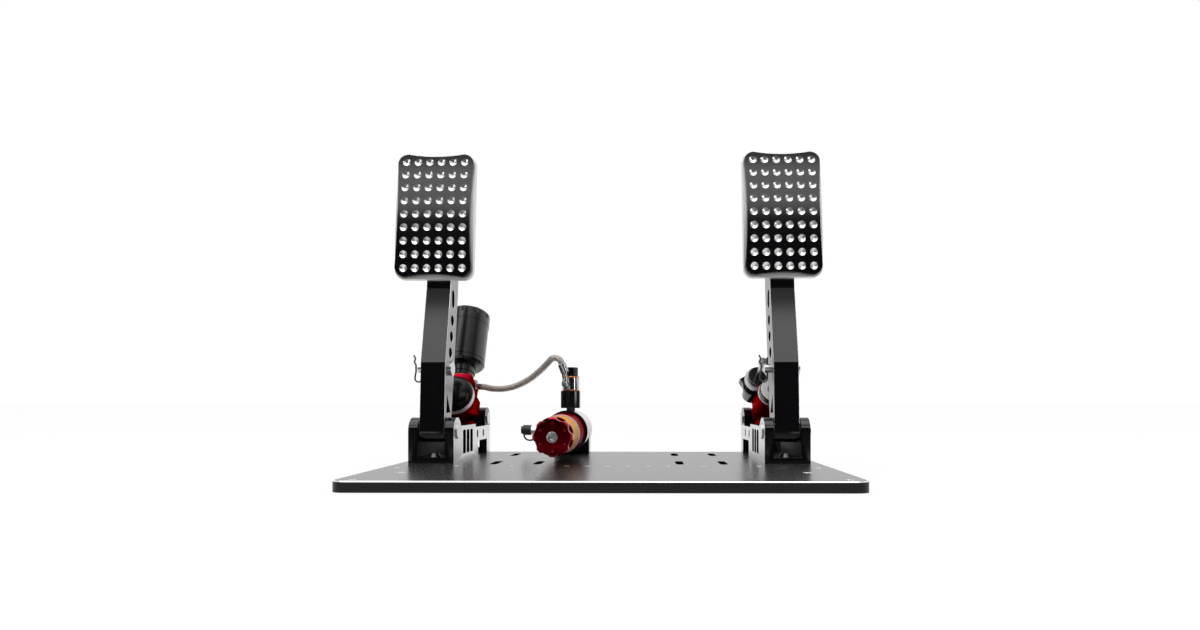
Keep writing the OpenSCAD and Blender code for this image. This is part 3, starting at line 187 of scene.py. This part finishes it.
paper_tree.links.new(paper_tone, paper_matt.inputs["Color"])
paper_tree.links.new(joined(paper_tree, "MULTIPLY", paper_lit, paper_share), paper_mix.inputs[0])
paper_tree.links.new(paper_matt.outputs[0], paper_mix.inputs[1])
paper_tree.links.new(paper_glow.outputs[0], paper_mix.inputs[2])
paper_tree.links.new(paper_mix.outputs[0], paper_tree.nodes["Material Output"].inputs["Surface"])
floor_mesh.materials.append(paper)


# Brake hose
# A rubber hose under a woven stainless braid, crimped at the slave end and screwed to the master's
# outlet. Its route follows the solid tube's, drawn as a smooth round cord.
HOSE_D = 0.0065
HOSE_STEPS = 6
HOSE_SIDES = 24
HOSE_ROUTE = [
    (-0.1388, 0.1075, 0.0775), (-0.1355, 0.1075, 0.0774), (-0.1295, 0.10725, 0.076),
    (-0.12325, 0.1065, 0.0755), (-0.1165, 0.1055, 0.0755), (-0.10925, 0.10375, 0.0765),
    (-0.10225, 0.102, 0.07825), (-0.09575, 0.0995, 0.08075), (-0.0895, 0.097, 0.08375),
    (-0.0835, 0.09425, 0.08725), (-0.078, 0.09125, 0.09125), (-0.0725, 0.08825, 0.0955),
    (-0.0675, 0.08525, 0.1), (-0.0625, 0.08225, 0.10475), (-0.06, 0.08125, 0.106),
    (-0.05725, 0.08075, 0.106), (-0.05475, 0.08025, 0.105), (-0.0527, 0.0805, 0.1029),
    (-0.0518, 0.081, 0.1003),
]
BRAID_STRANDS = 12.0
BRAID_TURNS = 640.0


def smooth_route(points, steps):
    """Points on a smooth curve through the route, several to each stretch."""
    ends = [Vector(p) for p in points]
    ends = [2 * ends[0] - ends[1]] + ends + [2 * ends[-1] - ends[-2]]
    route = []
    for i in range(1, len(ends) - 2):
        a, b, c, d = ends[i - 1], ends[i], ends[i + 1], ends[i + 2]
        for k in range(steps):
            t = k / steps
            route.append(0.5 * (2 * b + (c - a) * t + (2 * a - 5 * b + 4 * c - d) * t * t
                                + (3 * b - a - 3 * c + d) * t * t * t))
    route.append(ends[-2])
    return route


def sweep(shape, route, radius, sides):
    """A round tube along a route, which gives its length.
    Its UV map runs round it, and along it in metres."""
    uv = shape.loops.layers.uv.verify()
    rings = []
    along = [0.0]
    side = Vector((0, 1, 0.2))
    for i, point in enumerate(route):
        step = (route[min(i + 1, len(route) - 1)] - route[max(i - 1, 0)]).normalized()
        across = side.cross(step).normalized()
        up = step.cross(across)
        rings.append([shape.verts.new(point + radius * (math.cos(a) * across + math.sin(a) * up))
                      for a in (2 * math.pi * k / sides for k in range(sides))])
        if i:
            along.append(along[-1] + (point - route[i - 1]).length)
    for i in range(len(rings) - 1):
        for k in range(sides):
            n = (k + 1) % sides
            face = shape.faces.new((rings[i][k], rings[i][n], rings[i + 1][n], rings[i + 1][k]))
            face.smooth = True
            for loop, u, v in zip(face.loops, (k, k + 1, k + 1, k), (i, i, i + 1, i + 1)):
                loop[uv].uv = (u / sides, along[v])
    shape.faces.new(list(reversed(rings[0])))
    shape.faces.new(rings[-1])
    bmesh.ops.recalc_face_normals(shape, faces=shape.faces)
    return along[-1]


def finish(name, colour, roughness, metallic=0.0, coat=0.0, shine=0.5):
    """A plain finish: one colour and gloss all over. Shine is the strength of its reflections."""
    material = bpy.data.materials.new(name)
    material.use_nodes = True
    shade = material.node_tree.nodes["Principled BSDF"]
    shade.inputs["Base Color"].default_value = (*colour, 1.0)
    shade.inputs["Roughness"].default_value = roughness
    shade.inputs["Metallic"].default_value = metallic
    shade.inputs["Coat Weight"].default_value = coat
    shade.inputs["Specular IOR Level"].default_value = shine
    return material


hose_shape = bmesh.new()
hose_path = smooth_route(HOSE_ROUTE, HOSE_STEPS)
hose_length = sweep(hose_shape, hose_path, HOSE_D / 2, HOSE_SIDES)
hose_mesh = bpy.data.meshes.new("braided_hose")
hose_shape.to_mesh(hose_mesh)
hose_shape.free()
hose = bpy.data.objects.new("braided_hose", hose_mesh)
scene.collection.objects.link(hose)
steel_braid = finish("steel_braid", (0.5, 0.48, 0.45), 0.38, 0.8)
braid_tree = steel_braid.node_tree
braid_uv = braid_tree.nodes.new("ShaderNodeUVMap")
braid_split = braid_tree.nodes.new("ShaderNodeSeparateXYZ")
braid_tree.links.new(braid_uv.outputs["UV"], braid_split.inputs["Vector"])


def braid_strand(sign):
    """A wave across strands that wind round the hose one way."""
    around = joined(braid_tree, "MULTIPLY", braid_split.outputs["X"],
                    sign * BRAID_STRANDS * 2 * math.pi)
    along = joined(braid_tree, "MULTIPLY", braid_split.outputs["Y"], BRAID_TURNS * 2 * math.pi)
    return joined(braid_tree, "SINE", joined(braid_tree, "ADD", around, along), 0.0)


braid_weave = joined(braid_tree, "MULTIPLY", braid_strand(1), braid_strand(-1))
braid_bump = braid_tree.nodes.new("ShaderNodeBump")
braid_bump.inputs["Strength"].default_value = 0.5
braid_bump.inputs["Distance"].default_value = 0.0004
braid_tree.links.new(braid_weave, braid_bump.inputs["Height"])
braid_shade = braid_tree.nodes["Principled BSDF"]
braid_tree.links.new(braid_bump.outputs["Normal"], braid_shade.inputs["Normal"])
braid_tone = braid_tree.nodes.new("ShaderNodeMix")
braid_tone.data_type = "RGBA"
braid_tone.inputs["A"].default_value = (0.34, 0.31, 0.28, 1.0)
braid_tone.inputs["B"].default_value = (0.7, 0.66, 0.62, 1.0)
braid_share = ramp(braid_tree, braid_weave, -0.9, 0.7, 0.0, 1.0)
braid_tree.links.new(braid_share, braid_tone.inputs["Factor"])
braid_tree.links.new(braid_tone.outputs["Result"], braid_shade.inputs["Base Color"])
hose_mesh.materials.append(steel_braid)
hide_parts("brake_hose")
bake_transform(hose)


# Base plate
# An 8 mm aluminium plate, bead blasted and black anodised, with its top edge and round holes cut
# bright afterwards. The holes are matt white as a painted highlight, and the sides and lower chamfer
# a darker, less shiny black as painted shade. The slots and the row of holes take the pedals at other
# places.
PLATE_HALF = (0.185, 0.1325)
PLATE_T = 0.008
PLATE_BORDER = 0.004
BRIGHT_FROM = 0.0073
HOLE_EDGE = 0.0011
HOLE_RIM_BAND = 0.0001
SLOT_LINES = (0.062, 0.1)
SLOT_HALF = 0.0037
LEVEL = 0.95
MERGE_GAP = 1e-6
FLAT_ANGLE = 0.004
SHARP_ANGLE = 0.6


def merged_copy(node):
    """A copy of a node's solid, its loose triangles merged into whole faces."""
    shape = bmesh.new()
    shape.from_mesh(nodes[node].data)
    bmesh.ops.remove_doubles(shape, verts=shape.verts, dist=MERGE_GAP)
    bmesh.ops.dissolve_limit(shape, angle_limit=FLAT_ANGLE, verts=shape.verts, edges=shape.edges)
    for face in shape.faces:
        face.smooth = True
        face.material_index = 0
    return shape


def stand_in(name, shape, materials, node, crease=32):
    """A finished piece in a node's stead, on the node's body and with the given materials."""
    mesh = bpy.data.meshes.new(name)
    shape.to_mesh(mesh)
    shape.free()
    for material in materials:
        mesh.materials.append(material)
    mesh.set_sharp_from_angle(angle=math.radians(crease))
    piece = bpy.data.objects.new(name, mesh)
    scene.collection.objects.link(piece)
    record = frame["record"]
    bodies = record["behaviour"]["bodies"]
    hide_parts(node)
    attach(piece, next(body for body, members in bodies.items() if node in members))
    return piece


def one_finish(place, normal, broken_edge):
    """The first material, for a piece that has no other."""
    return 0


def machined(name, node, edge, materials, material_of=one_finish, chosen=lambda place: True,
             planes=(), crease=25):
    """A copy of a node's solid with its sharp edges broken, and a material for each face by its place.
    Only chosen edges are broken. The planes, each of a point and a normal, part its faces
    between two materials."""
    shape = merged_copy(node)
    broken = set()
    if edge:
        sharp = [e for e in shape.edges
                 if len(e.link_faces) == 2 and e.calc_face_angle() > SHARP_ANGLE]
        corners = [e for e in sharp if chosen((e.verts[0].co + e.verts[1].co) / 2)]
        bevel = bmesh.ops.bevel(shape, geom=corners, offset=edge, affect="EDGES", segments=2,
                                profile=0.5, material=-1, clamp_overlap=True)
        broken.update(bevel["faces"])
    for point, normal in planes:
        everything = [*shape.verts, *shape.edges, *shape.faces]
        bmesh.ops.bisect_plane(shape, geom=everything, plane_co=point, plane_no=normal)
    for face in shape.faces:
        face.smooth = True
        face.material_index = material_of(face.calc_center_median(), face.normal, face in broken)
    return stand_in(name, shape, materials, node, crease)


def wear(material, colour_low, colour_high, scale, rough_low, rough_high):
    """Faint, fine changes of tone and gloss over a finish, read from the piece's own place."""
    tree = material.node_tree
    shade = tree.nodes["Principled BSDF"]
    place = tree.nodes.new("ShaderNodeTexCoord")
    noise = tree.nodes.new("ShaderNodeTexNoise")
    noise.inputs["Scale"].default_value = scale
    noise.inputs["Detail"].default_value = 4.0
    tree.links.new(place.outputs["Object"], noise.inputs["Vector"])
    tone = tree.nodes.new("ShaderNodeMix")
    tone.data_type = "RGBA"
    tone.inputs["A"].default_value = (*colour_low, 1.0)
    tone.inputs["B"].default_value = (*colour_high, 1.0)
    gloss = ramp(tree, noise.outputs["Fac"], 0.2, 0.8, rough_low, rough_high)
    tree.links.new(noise.outputs["Fac"], tone.inputs["Factor"])
    tree.links.new(tone.outputs["Result"], shade.inputs["Base Color"])
    tree.links.new(gloss, shade.inputs["Roughness"])


satin_black = finish("satin_black_anodise", (0.02, 0.02, 0.021), 0.2)
wear(satin_black, (0.016, 0.016, 0.017), (0.022, 0.022, 0.023), 900.0, 0.23, 0.29)
satin_black.node_tree.nodes["Principled BSDF"].inputs["IOR"].default_value = 2.25
# A darker, less shiny copy of the black anodise: painted shade on the plate's sides and lower chamfer.
plate_side_painted_shade = finish("black_anodise_painted_shade_sides", (0.004, 0.004, 0.005), 0.18, shine=0.25)
bright_cut = finish("bright_cut_edge", (0.86, 0.86, 0.87), 0.22, 1.0)
# Matt white in the round holes: a painted highlight for the bare cut metal.
hole_painted_highlight = finish("plate_hole_painted_highlight", (0.92, 0.92, 0.92), 0.35)


def in_round_hole(place):
    """Whether a place lies inside the plate's outline and off the lines of slots."""
    inside_x = abs(place.x) < PLATE_HALF[0] - PLATE_BORDER
    inside_y = abs(place.y) < PLATE_HALF[1] - PLATE_BORDER
    off_slots = min(abs(abs(place.x) - line) for line in SLOT_LINES) > SLOT_HALF
    return inside_x and inside_y and off_slots


def hole_rim(place):
    """Whether an edge is the upper rim of a round hole."""
    return in_round_hole(place) and place.z > PLATE_T - HOLE_RIM_BAND


def plate_finish(place, normal, broken_edge):
    """Black on the flats, painted highlight white in the round holes, bright on the chamfer and
    painted shade, a darker black, on the rest.
    """
    if abs(normal.z) > LEVEL:
        return 0
    if in_round_hole(place):
        return 3
    return 1 if normal.z > 0.3 and place.z > BRIGHT_FROM else 2


plate = machined("plate", "base_plate", HOLE_EDGE, (satin_black, bright_cut, plate_side_painted_shade, hole_painted_highlight),
                 plate_finish, chosen=hole_rim, planes=[((0, 0, BRIGHT_FROM), (0, 0, 1))])
for polygon in plate.data.polygons:
    polygon.use_smooth = abs(polygon.normal.z) < LEVEL


# Pedal brackets
# Machined from solid aluminium and gloss black anodised; the side faces are cut again afterwards
# and left bare. Their insides are a matt black that mirrors little, as painted shade. Button-head
# screws hold their feet to the plate, and headed pins with rings carry the arms and the cylinders.
PEDAL_X = 0.156
BRACKET_HALF = 0.02
BRACKET_FRONT = -0.004
BRACKET_INSIDE = 0.0122
BRACKET_EDGE = 0.0005
FOOT_TOP = 0.013
FOOT_BAND = 0.001
REAR_EAR = (0.09, 0.0372)
EAR_BAND = 0.0006
EAR_PLANES = [((0, REAR_EAR[0], 0), (0, 1, 0)), ((0, 0, REAR_EAR[1]), (0, 0, 1))]


def dress(node, material):
    """The material on a node's own mesh, in place of the plain one that it came with."""
    mesh = nodes[node].data
    mesh.materials.clear()
    mesh.materials.append(material)


gloss_black = finish("gloss_black_anodise", (0.004, 0.004, 0.005), 0.09)
bare_side = finish("bare_milled_side", (0.72, 0.72, 0.73), 0.36, 1.0)
wear(bare_side, (0.68, 0.68, 0.69), (0.76, 0.76, 0.77), 260.0, 0.32, 0.42)
# Matt black that mirrors little: painted shade inside the brackets.
bracket_inside_painted_shade = finish("matt_black_painted_shade_inside", (0.004, 0.004, 0.005), 0.5, shine=0.1)


def bracket_finish(place, normal, broken_edge):
    """Gloss black, with bare sides, bright edges on the ear and foot, and matt insides as painted
    shade.
    """
    off_centre = abs(abs(place.x) - PEDAL_X)
    if place.y > REAR_EAR[0] and place.z > REAR_EAR[1]:
        return 2 if broken_edge and off_centre > BRACKET_HALF - EAR_BAND else 0
    at_foot_edge = place.y < BRACKET_FRONT + FOOT_BAND and abs(place.z - FOOT_TOP) < FOOT_BAND
    if broken_edge and at_foot_edge:
        return 2
    if off_centre < BRACKET_INSIDE and normal.y > -0.5:
        return 3
    return 1 if off_centre > BRACKET_HALF - BRACKET_EDGE and abs(normal.x) > 0.3 else 0


for side in ("brake", "throttle"):
    machined(side + "_bracket_body", side + "_bracket", BRACKET_EDGE,
             (gloss_black, bare_side, bright_cut, bracket_inside_painted_shade), bracket_finish, planes=EAR_PLANES)
zinc_plate = finish("zinc_plate", (0.6, 0.6, 0.61), 0.28, 1.0)
for node in ("pivot_pins", "rear_pins"):
    dress(node, zinc_plate)
dark_steel = finish("dark_spring_steel", (0.1, 0.1, 0.11), 0.32, 1.0)
for node in ("bracket_screws", "retaining_rings", "saddle_screws"):
    dress(node, dark_steel)


# Pedal arms
# Plate arms with a fork for the rod end, black anodised in front with bare sides, turning on bronze
# bushes. Their long edges are chamfered bright after anodising, and a headed pin with a hairpin
# clip holds each rod end. The bare sides and the bushes are darker than their metal: painted shade
# between the bracket's cheeks.
ARM_HALF = 0.011
ARM_EDGE = 0.0007
ARM_EDGE_BAND = 0.0012
ARM_SIDE_BAND = 0.0002
ARM_MIDDLE = (0.1, 0.16)
ARM_FRONT_AREA = 0.0004
ARM_LEAN = math.radians(17.8)


def arm_finish(place, normal, broken_edge):
    """Gloss black in front, bare sides darkened as painted shade, and bright long edges."""
    off_centre = abs(abs(place.x) - PEDAL_X)
    if broken_edge and off_centre > ARM_HALF - ARM_EDGE_BAND:
        return 2
    return 1 if off_centre > ARM_HALF - ARM_SIDE_BAND and abs(normal.x) > 0.9 else 0


def lean_front(arm):
    """Normals that lean the arm's middle front further, so that it mirrors the front lamp."""
    leaning = Vector((0, -math.cos(ARM_LEAN), math.sin(ARM_LEAN)))
    normals = [corner.vector.copy() for corner in arm.data.corner_normals]
    for polygon in arm.data.polygons:
        in_middle = ARM_MIDDLE[0] < polygon.center.z < ARM_MIDDLE[1]
        if in_middle and polygon.normal.y < -0.95 and polygon.area > ARM_FRONT_AREA:
            for corner in polygon.loop_indices:
                normals[corner] = leaning
    arm.data.normals_split_custom_set(normals)


# Bare milled aluminium, darker than the brackets' sides: painted shade.
arm_side_painted_shade = finish("milled_side_painted_shade", (0.3, 0.3, 0.305), 0.34, 1.0)
for side in ("brake", "throttle"):
    arm = machined(side + "_arm_plate", side + "_arm", ARM_EDGE, (gloss_black, arm_side_painted_shade, bright_cut),
                   arm_finish, crease=5)
    lean_front(arm)
# Bronze made dark: painted shade between the arm and the bracket.
bronze_painted_shade = finish("bearing_bronze_painted_shade", (0.14, 0.09, 0.045), 0.45, 1.0)
for side in ("brake", "throttle"):
    dress(side + "_bushes", bronze_painted_shade)
    dress(side + "_clevis_pin", zinc_plate)
    dress(side + "_r_clip", dark_steel)
    dress(side + "_pad_screws", dark_steel)


# Pedal faces
# A bare aluminium back bolted to the arm, and a black anodised face whose dimples are machined
# bright. The dimples stand in nine rows of six, each row on its own strip of the bulging face.
FACE_PLACE = {
    "brake": Vector((-0.159, 0.0187, 0.172)),
    "throttle": Vector((0.156, 0.01885, 0.1735)),
}
FACE_LEAN = math.atan2(8, 80)
FACE_CURVE = 0.5
FACE_T = 0.004
FACE_MID = 0.0585
BACK_MID = 0.00843
BACK_EDGE = 0.0008
DIMPLE_ROWS = range(-4, 5)
DIMPLE_COLUMNS = (-2.5, -1.5, -0.5, 0.5, 1.5, 2.5)
DIMPLE_PITCH = (0.0106, 0.0123)
DIMPLE_R = 0.0034
DIMPLE_DEEP = 0.00185
DIMPLE_PROUD = 0.00005
DIMPLE_SIDES = 32
DIMPLE_TIP = 0.08
bare_aluminium = finish("bare_aluminium", (0.86, 0.85, 0.84), 0.34, 0.25)
face_black = finish("face_black_anodise", (0.004, 0.004, 0.005), 0.14)
drilled = finish("drilled_bright", (0.9, 0.9, 0.91), 0.28, 1.0)


def face_frame(turn):
    """The outward and upward directions of a face at an angle along its curve."""
    lean = turn + FACE_LEAN
    outward = Vector((0, -math.cos(lean), math.sin(lean)))
    upward = Vector((0, math.sin(lean), math.cos(lean)))
    return outward, upward


def face_axis(origin):
    """The point about which a face curves."""
    out, up = face_frame(0.0)
    return origin + up * FACE_MID - out * (FACE_CURVE - BACK_MID)


def add_dimples(shape, origin):
    """Shallow cones, as a drill's point leaves them, laid in the hollows of a face."""
    for row in DIMPLE_ROWS:
        out, up = face_frame(row * DIMPLE_PITCH[1] / FACE_CURVE)
        for column in DIMPLE_COLUMNS:
            rim_middle = face_axis(origin) + out * (FACE_CURVE + FACE_T + DIMPLE_PROUD)
            rim_middle.x += column * DIMPLE_PITCH[0]
            inner = [shape.verts.new(rim_middle - out * DIMPLE_DEEP)] * DIMPLE_SIDES
            for share in (DIMPLE_TIP, 0.5, 1.0):
                outer = []
                for k in range(DIMPLE_SIDES):
                    around = 2 * math.pi * k / DIMPLE_SIDES
                    aside = Vector((math.cos(around), 0, 0)) + up * math.sin(around)
                    place = rim_middle + aside * DIMPLE_R * share - out * DIMPLE_DEEP * (1 - share)
                    outer.append(shape.verts.new(place))
                for k in range(DIMPLE_SIDES):
                    n = (k + 1) % DIMPLE_SIDES
                    corners = (inner[k], outer[k], outer[n], inner[n])
                    face = shape.faces.new(corners if share > DIMPLE_TIP else corners[:3])
                    face.smooth = True
                    face.material_index = 1
                inner = outer


def shade_as_curve(piece, origin):
    """Normals of the true curve, on the front of a face that is made of flat strips."""
    mesh = piece.data
    axis = face_axis(origin)
    normals = [corner.vector.copy() for corner in mesh.corner_normals]
    for polygon in mesh.polygons:
        if polygon.material_index == 0 and polygon.normal.y < -0.9:
            for corner in polygon.loop_indices:
                aim = mesh.vertices[mesh.loops[corner].vertex_index].co - axis
                aim.x = 0
                normals[corner] = aim.normalized()
    mesh.normals_split_custom_set(normals)


for side in ("brake", "throttle"):
    machined(side + "_face_back", side + "_pad_back", BACK_EDGE, (bare_aluminium,))
    face_shape = merged_copy(side + "_pad")
    add_dimples(face_shape, FACE_PLACE[side])
    face_piece = stand_in(side + "_face", face_shape, (face_black, drilled), side + "_pad")
    shade_as_curve(face_piece, FACE_PLACE[side])


# Master cylinder
# A red anodised block on the rear pin, with a silver ring and a glossy rubber boot over the steel
# pushrod. The outlet's steel elbow sits on a brass washer and takes the hose.
REAR_PIN = Vector((0, 0.121, 0.045))
LINK_LEAN = math.radians(23.912)
LINK_RUN = Vector((0, -math.cos(LINK_LEAN), math.sin(LINK_LEAN)))
MASTER_EDGE = 0.0007
BOOT_BACK = 0.06
BOOT_PLACE = Vector((-PEDAL_X, 0, 0)) + REAR_PIN + LINK_RUN * BOOT_BACK
BOOT_PROFILE = [
    (0.0043, 0.0), (0.0185, 0.0), (0.0188, 0.0006), (0.0188, 0.0018), (0.0183, 0.0026),
    (0.0174, 0.0041), (0.0159, 0.0056), (0.0138, 0.0069), (0.0112, 0.0079), (0.0084, 0.0085),
    (0.0062, 0.0089), (0.0052, 0.009), (0.0043, 0.0088), (0.0043, 0.0),
]
TURN_STEPS = 72


def turned(name, node, profiles, at, along, materials, crease=40):
    """A piece turned on a lathe: outlines of (radius, place) points spun round an axis."""
    shape = bmesh.new()
    side = along.orthogonal().normalized()
    for profile in profiles:
        line = [shape.verts.new(at + along * place + side * radius) for radius, place in profile]
        drawn = [shape.edges.new(pair) for pair in zip(line, line[1:])]
        bmesh.ops.spin(shape, geom=[*line, *drawn], cent=at, axis=along, angle=2 * math.pi,
                       steps=TURN_STEPS, use_merge=True)
    bmesh.ops.remove_doubles(shape, verts=shape.verts, dist=1e-7)
    bmesh.ops.recalc_face_normals(shape, faces=shape.faces)
    for face in shape.faces:
        face.smooth = True
    return stand_in(name, shape, materials, node, crease)


def anodised(name, colour, roughness):
    """Dyed aluminium: a metal whose reflections keep the dye's colour, at a slant too."""
    material = finish(name, colour, roughness, 1.0)
    shade = material.node_tree.nodes["Principled BSDF"]
    shade.inputs["Specular Tint"].default_value = (*colour, 1.0)
    return material


red_anodise = anodised("red_anodise", (0.27, 0.004, 0.016), 0.17)
machined("master_block", "master_body", MASTER_EDGE, (red_anodise,))
gloss_rubber = finish("gloss_rubber", (0.004, 0.004, 0.005), 0.22, shine=0.18)
turned("pushrod_boot", "master_boot", [BOOT_PROFILE], BOOT_PLACE, LINK_RUN, (gloss_rubber,))
for node in ("master_ring", "master_piston"):
    dress(node, bare_aluminium)
brass = finish("brass", (0.78, 0.5, 0.16), 0.25, 1.0)
dress("outlet_washer", brass)
for node in ("outlet_fitting", "master_pushrod"):
    dress(node, zinc_plate)


def return_spring(name, node):
    """A steel coil, as a machined copy with a mesh of its own."""
    spring = machined(name, node, 0.0, (zinc_plate,))
    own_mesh(spring)


return_spring("master_coil", "master_spring")
seal_rubber = finish("seal_rubber", (0.02, 0.02, 0.02), 0.55)
for node in ("master_seal", "slave_piston_seal"):
    dress(node, seal_rubber)


# Fluid canister
# Turned from black resin, with a groove near its foot and a notched cap that screws off.
# A threaded collar and an orange seal join it to the master cylinder.
gloss_resin = finish("gloss_black_resin", (0.005, 0.005, 0.006), 0.2, 0.0, 0.3)
for node in ("reservoir", "reservoir_cap", "reservoir_collar"):
    dress(node, gloss_resin)
orange_seal = finish("orange_seal", (0.7, 0.2, 0.03), 0.5)
dress("reservoir_seal", orange_seal)


# Slave cylinder
# A pale anodised body on a black saddle, with a black gland and a steel rod right through it.
# Fluid pushes its piston and a red cup forward against an orange elastomer, which a red knob
# preloads.
SLAVE_X = -0.044
SLAVE_Z = 0.033
CUP_EDGE = 0.0005
TIE_ROD_R = 0.0046
TIE_ROD_GAP = 0.0001
TIE_ROD_EDGE = 0.0006
ELASTOMER = (-0.0287, 0.0093)
ELASTOMER_R = 0.016
ELASTOMER_EDGE = 0.001
KNOB_FRONT = -0.044
KNOB_RIM = 0.0132
KNOB_EDGE = 0.0007
KNOB_DIMPLES = (0.0102, 0.0128)
KNOB_DIMPLE_DEEP = 0.0013
KNOB_SKIN = 0.0001
pale_anodise = finish("pale_anodise", (0.8, 0.77, 0.73), 0.38, 0.25)
for node in ("slave_body", "cup_washer"):
    dress(node, pale_anodise)
for node in ("slave_saddle", "slave_gland"):
    dress(node, gloss_black)
dress("slave_piston", bare_aluminium)
deep_red = finish("deep_red_anodise", (0.42, 0.003, 0.012), 0.3, 0.5)
# A darker copy of the knob's red: painted shade on its front face.
knob_front_painted_shade = finish("red_anodise_painted_shade_front", (0.17, 0.001, 0.006), 0.2, 1.0)
# A lighter copy of the knob's red: painted highlight in its dimples.
knob_dimple_painted_highlight = finish("red_anodise_painted_highlight_dimples", (0.62, 0.012, 0.03), 0.25, 0.6)
cup_red = anodised("cup_red_anodise", (0.34, 0.005, 0.018), 0.24)
machined("cup", "pressure_cup", CUP_EDGE, (cup_red,))


def from_slave_axis(place):
    """How far a place lies from the cylinder's middle line."""
    return math.hypot(place.x - SLAVE_X, place.z - SLAVE_Z)


def knob_rim(place):
    """Whether an edge lies on the knob's scalloped rim."""
    return from_slave_axis(place) > KNOB_RIM


def knob_finish(place, normal, broken_edge):
    """A front darkened as painted shade, dimples lightened as painted highlight, and a deep red rim.
    """
    in_dimple_ring = KNOB_DIMPLES[0] < from_slave_axis(place) < KNOB_DIMPLES[1]
    if in_dimple_ring and place.y > KNOB_FRONT + KNOB_SKIN:
        return 2 if place.y < KNOB_FRONT + KNOB_DIMPLE_DEEP else 0
    return 1 if normal.y < -0.9 else 0


machined("knob", "adjust_knob", KNOB_EDGE, (deep_red, knob_front_painted_shade, knob_dimple_painted_highlight), knob_finish,
         chosen=knob_rim)
machined("tie_rod", "slave_tie_rod", TIE_ROD_EDGE, (zinc_plate,))
orange_rubber = finish("orange_elastomer", (0.8, 0.32, 0.012), 0.5, shine=0.1)
elastomer_l = ELASTOMER[1] - ELASTOMER[0]
elastomer_bore = TIE_ROD_R + TIE_ROD_GAP
elastomer_front = (SLAVE_X, ELASTOMER[0], SLAVE_Z)
elastomer_profile = [
    (elastomer_bore, 0.0),
    (ELASTOMER_R - ELASTOMER_EDGE, 0.0),
    (ELASTOMER_R, ELASTOMER_EDGE),
    (ELASTOMER_R, elastomer_l - ELASTOMER_EDGE),
    (ELASTOMER_R - ELASTOMER_EDGE, elastomer_l),
    (elastomer_bore, elastomer_l),
    (elastomer_bore, 0.0),
]
elastomer = turned("elastomer_spring", "elastomer", [elastomer_profile], Vector(elastomer_front),
                   Vector((0, 1, 0)), (orange_rubber,))
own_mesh(elastomer)


# Slave cylinder's fittings
# A black anodised adapter carries a chromed banjo between copper washers, held by a hollow bolt.
# The bleed nipple has a rubber cap whose strap loops back to it.
PORT_Y = 0.09405
FITTING_EDGE = 0.0006
BOLT_EDGE = 0.0008
WASHER_R = 0.009
WASHER_BORE = 0.0051
WASHER_T = 0.0015
WASHER_EDGE = 0.0004
WASHER_Z = (0.07285, 0.08625)
BLEED_MOUTH = -0.0845
STRAP_R = 0.0009
STRAP_STEPS = 4
STRAP_SIDES = 10
STRAP = [
    (0.0075, -0.0048), (0.0068, -0.0075), (0.0045, -0.0098), (0.001, -0.0105),
    (-0.0025, -0.0095), (-0.0045, -0.007), (-0.005, -0.0042),
]


def washer_profile(low):
    """The outline of a washer whose underside is at a height, with its rim's edges broken."""
    high = low + WASHER_T
    return [
        (WASHER_BORE, low), (WASHER_R - WASHER_EDGE, low), (WASHER_R, low + WASHER_EDGE),
        (WASHER_R, high - WASHER_EDGE), (WASHER_R - WASHER_EDGE, high), (WASHER_BORE, high),
        (WASHER_BORE, low),
    ]


chrome_plate = finish("chrome_plate", (0.5, 0.5, 0.52), 0.1, 1.0)
machined("banjo", "banjo_fitting", FITTING_EDGE, (chrome_plate,))
copper = finish("copper", (0.6, 0.24, 0.09), 0.3, 1.0)
turned("crush_washers", "copper_washers", [washer_profile(low) for low in WASHER_Z],
       Vector((SLAVE_X, PORT_Y, 0)), Vector((0, 0, 1)), (copper,))
machined("adapter", "hose_adapter", FITTING_EDGE, (gloss_black,))
black_steel = finish("black_steel", (0.03, 0.03, 0.033), 0.18, 0.9)
machined("hollow_bolt", "banjo_bolt", BOLT_EDGE, (black_steel,))
dress("bleed_nipple", zinc_plate)
cap_shape = merged_copy("bleed_cap")
strap_points = [(BLEED_MOUTH - x, PORT_Y, SLAVE_Z + z) for x, z in STRAP]
sweep(cap_shape, smooth_route(strap_points, STRAP_STEPS), STRAP_R, STRAP_SIDES)
cap_rubber = finish("cap_rubber", (0.02, 0.022, 0.022), 0.45)
stand_in("bleed_cap_with_strap", cap_shape, (cap_rubber,), "bleed_cap")


# Throttle unit
# A red hexagonal cylinder with a spring inside, a black cap between a silver and a yellow-green
# ring, and a steel rod. A black position sensor is clamped to its upper inboard side and follows
# the rod.
BLOCK_EDGE = 0.0006
RING_EDGE = 0.0003
YELLOW_FROM = 0.066
BARE_CLAMP_FROM = 0.044
block_red = anodised("block_red_anodise", (0.38, 0.006, 0.022), 0.28)
machined("throttle_block", "throttle_cylinder", BLOCK_EDGE, (block_red,))
yellow_ring = finish("yellow_green_ring", (0.62, 0.62, 0.16), 0.3, 0.7)


def link_place(place):
    """How far forward of the rear pin a place lies along the link."""
    return (Vector((0, place.y, place.z)) - REAR_PIN).dot(LINK_RUN)


def ring_finish(place, normal, broken_edge):
    """Yellow-green round the front ring, and bare aluminium on the rest."""
    return 1 if link_place(place) > YELLOW_FROM and abs(normal.dot(LINK_RUN)) < 0.8 else 0


def clamp_finish(place, normal, broken_edge):
    """Black on the rear clamp, and bare aluminium on the front one."""
    return 1 if link_place(place) > BARE_CLAMP_FROM else 0


machined("rings", "throttle_rings", RING_EDGE, (bare_aluminium, yellow_ring), ring_finish)
dress("throttle_cap", gloss_black)
for node in ("throttle_pushrod", "sensor_rod"):
    dress(node, zinc_plate)
return_spring("throttle_coil", "throttle_spring")
dress("position_sensor", gloss_resin)
machined("clamps", "sensor_clamp", RING_EDGE, (gloss_black, bare_aluminium), clamp_finish)
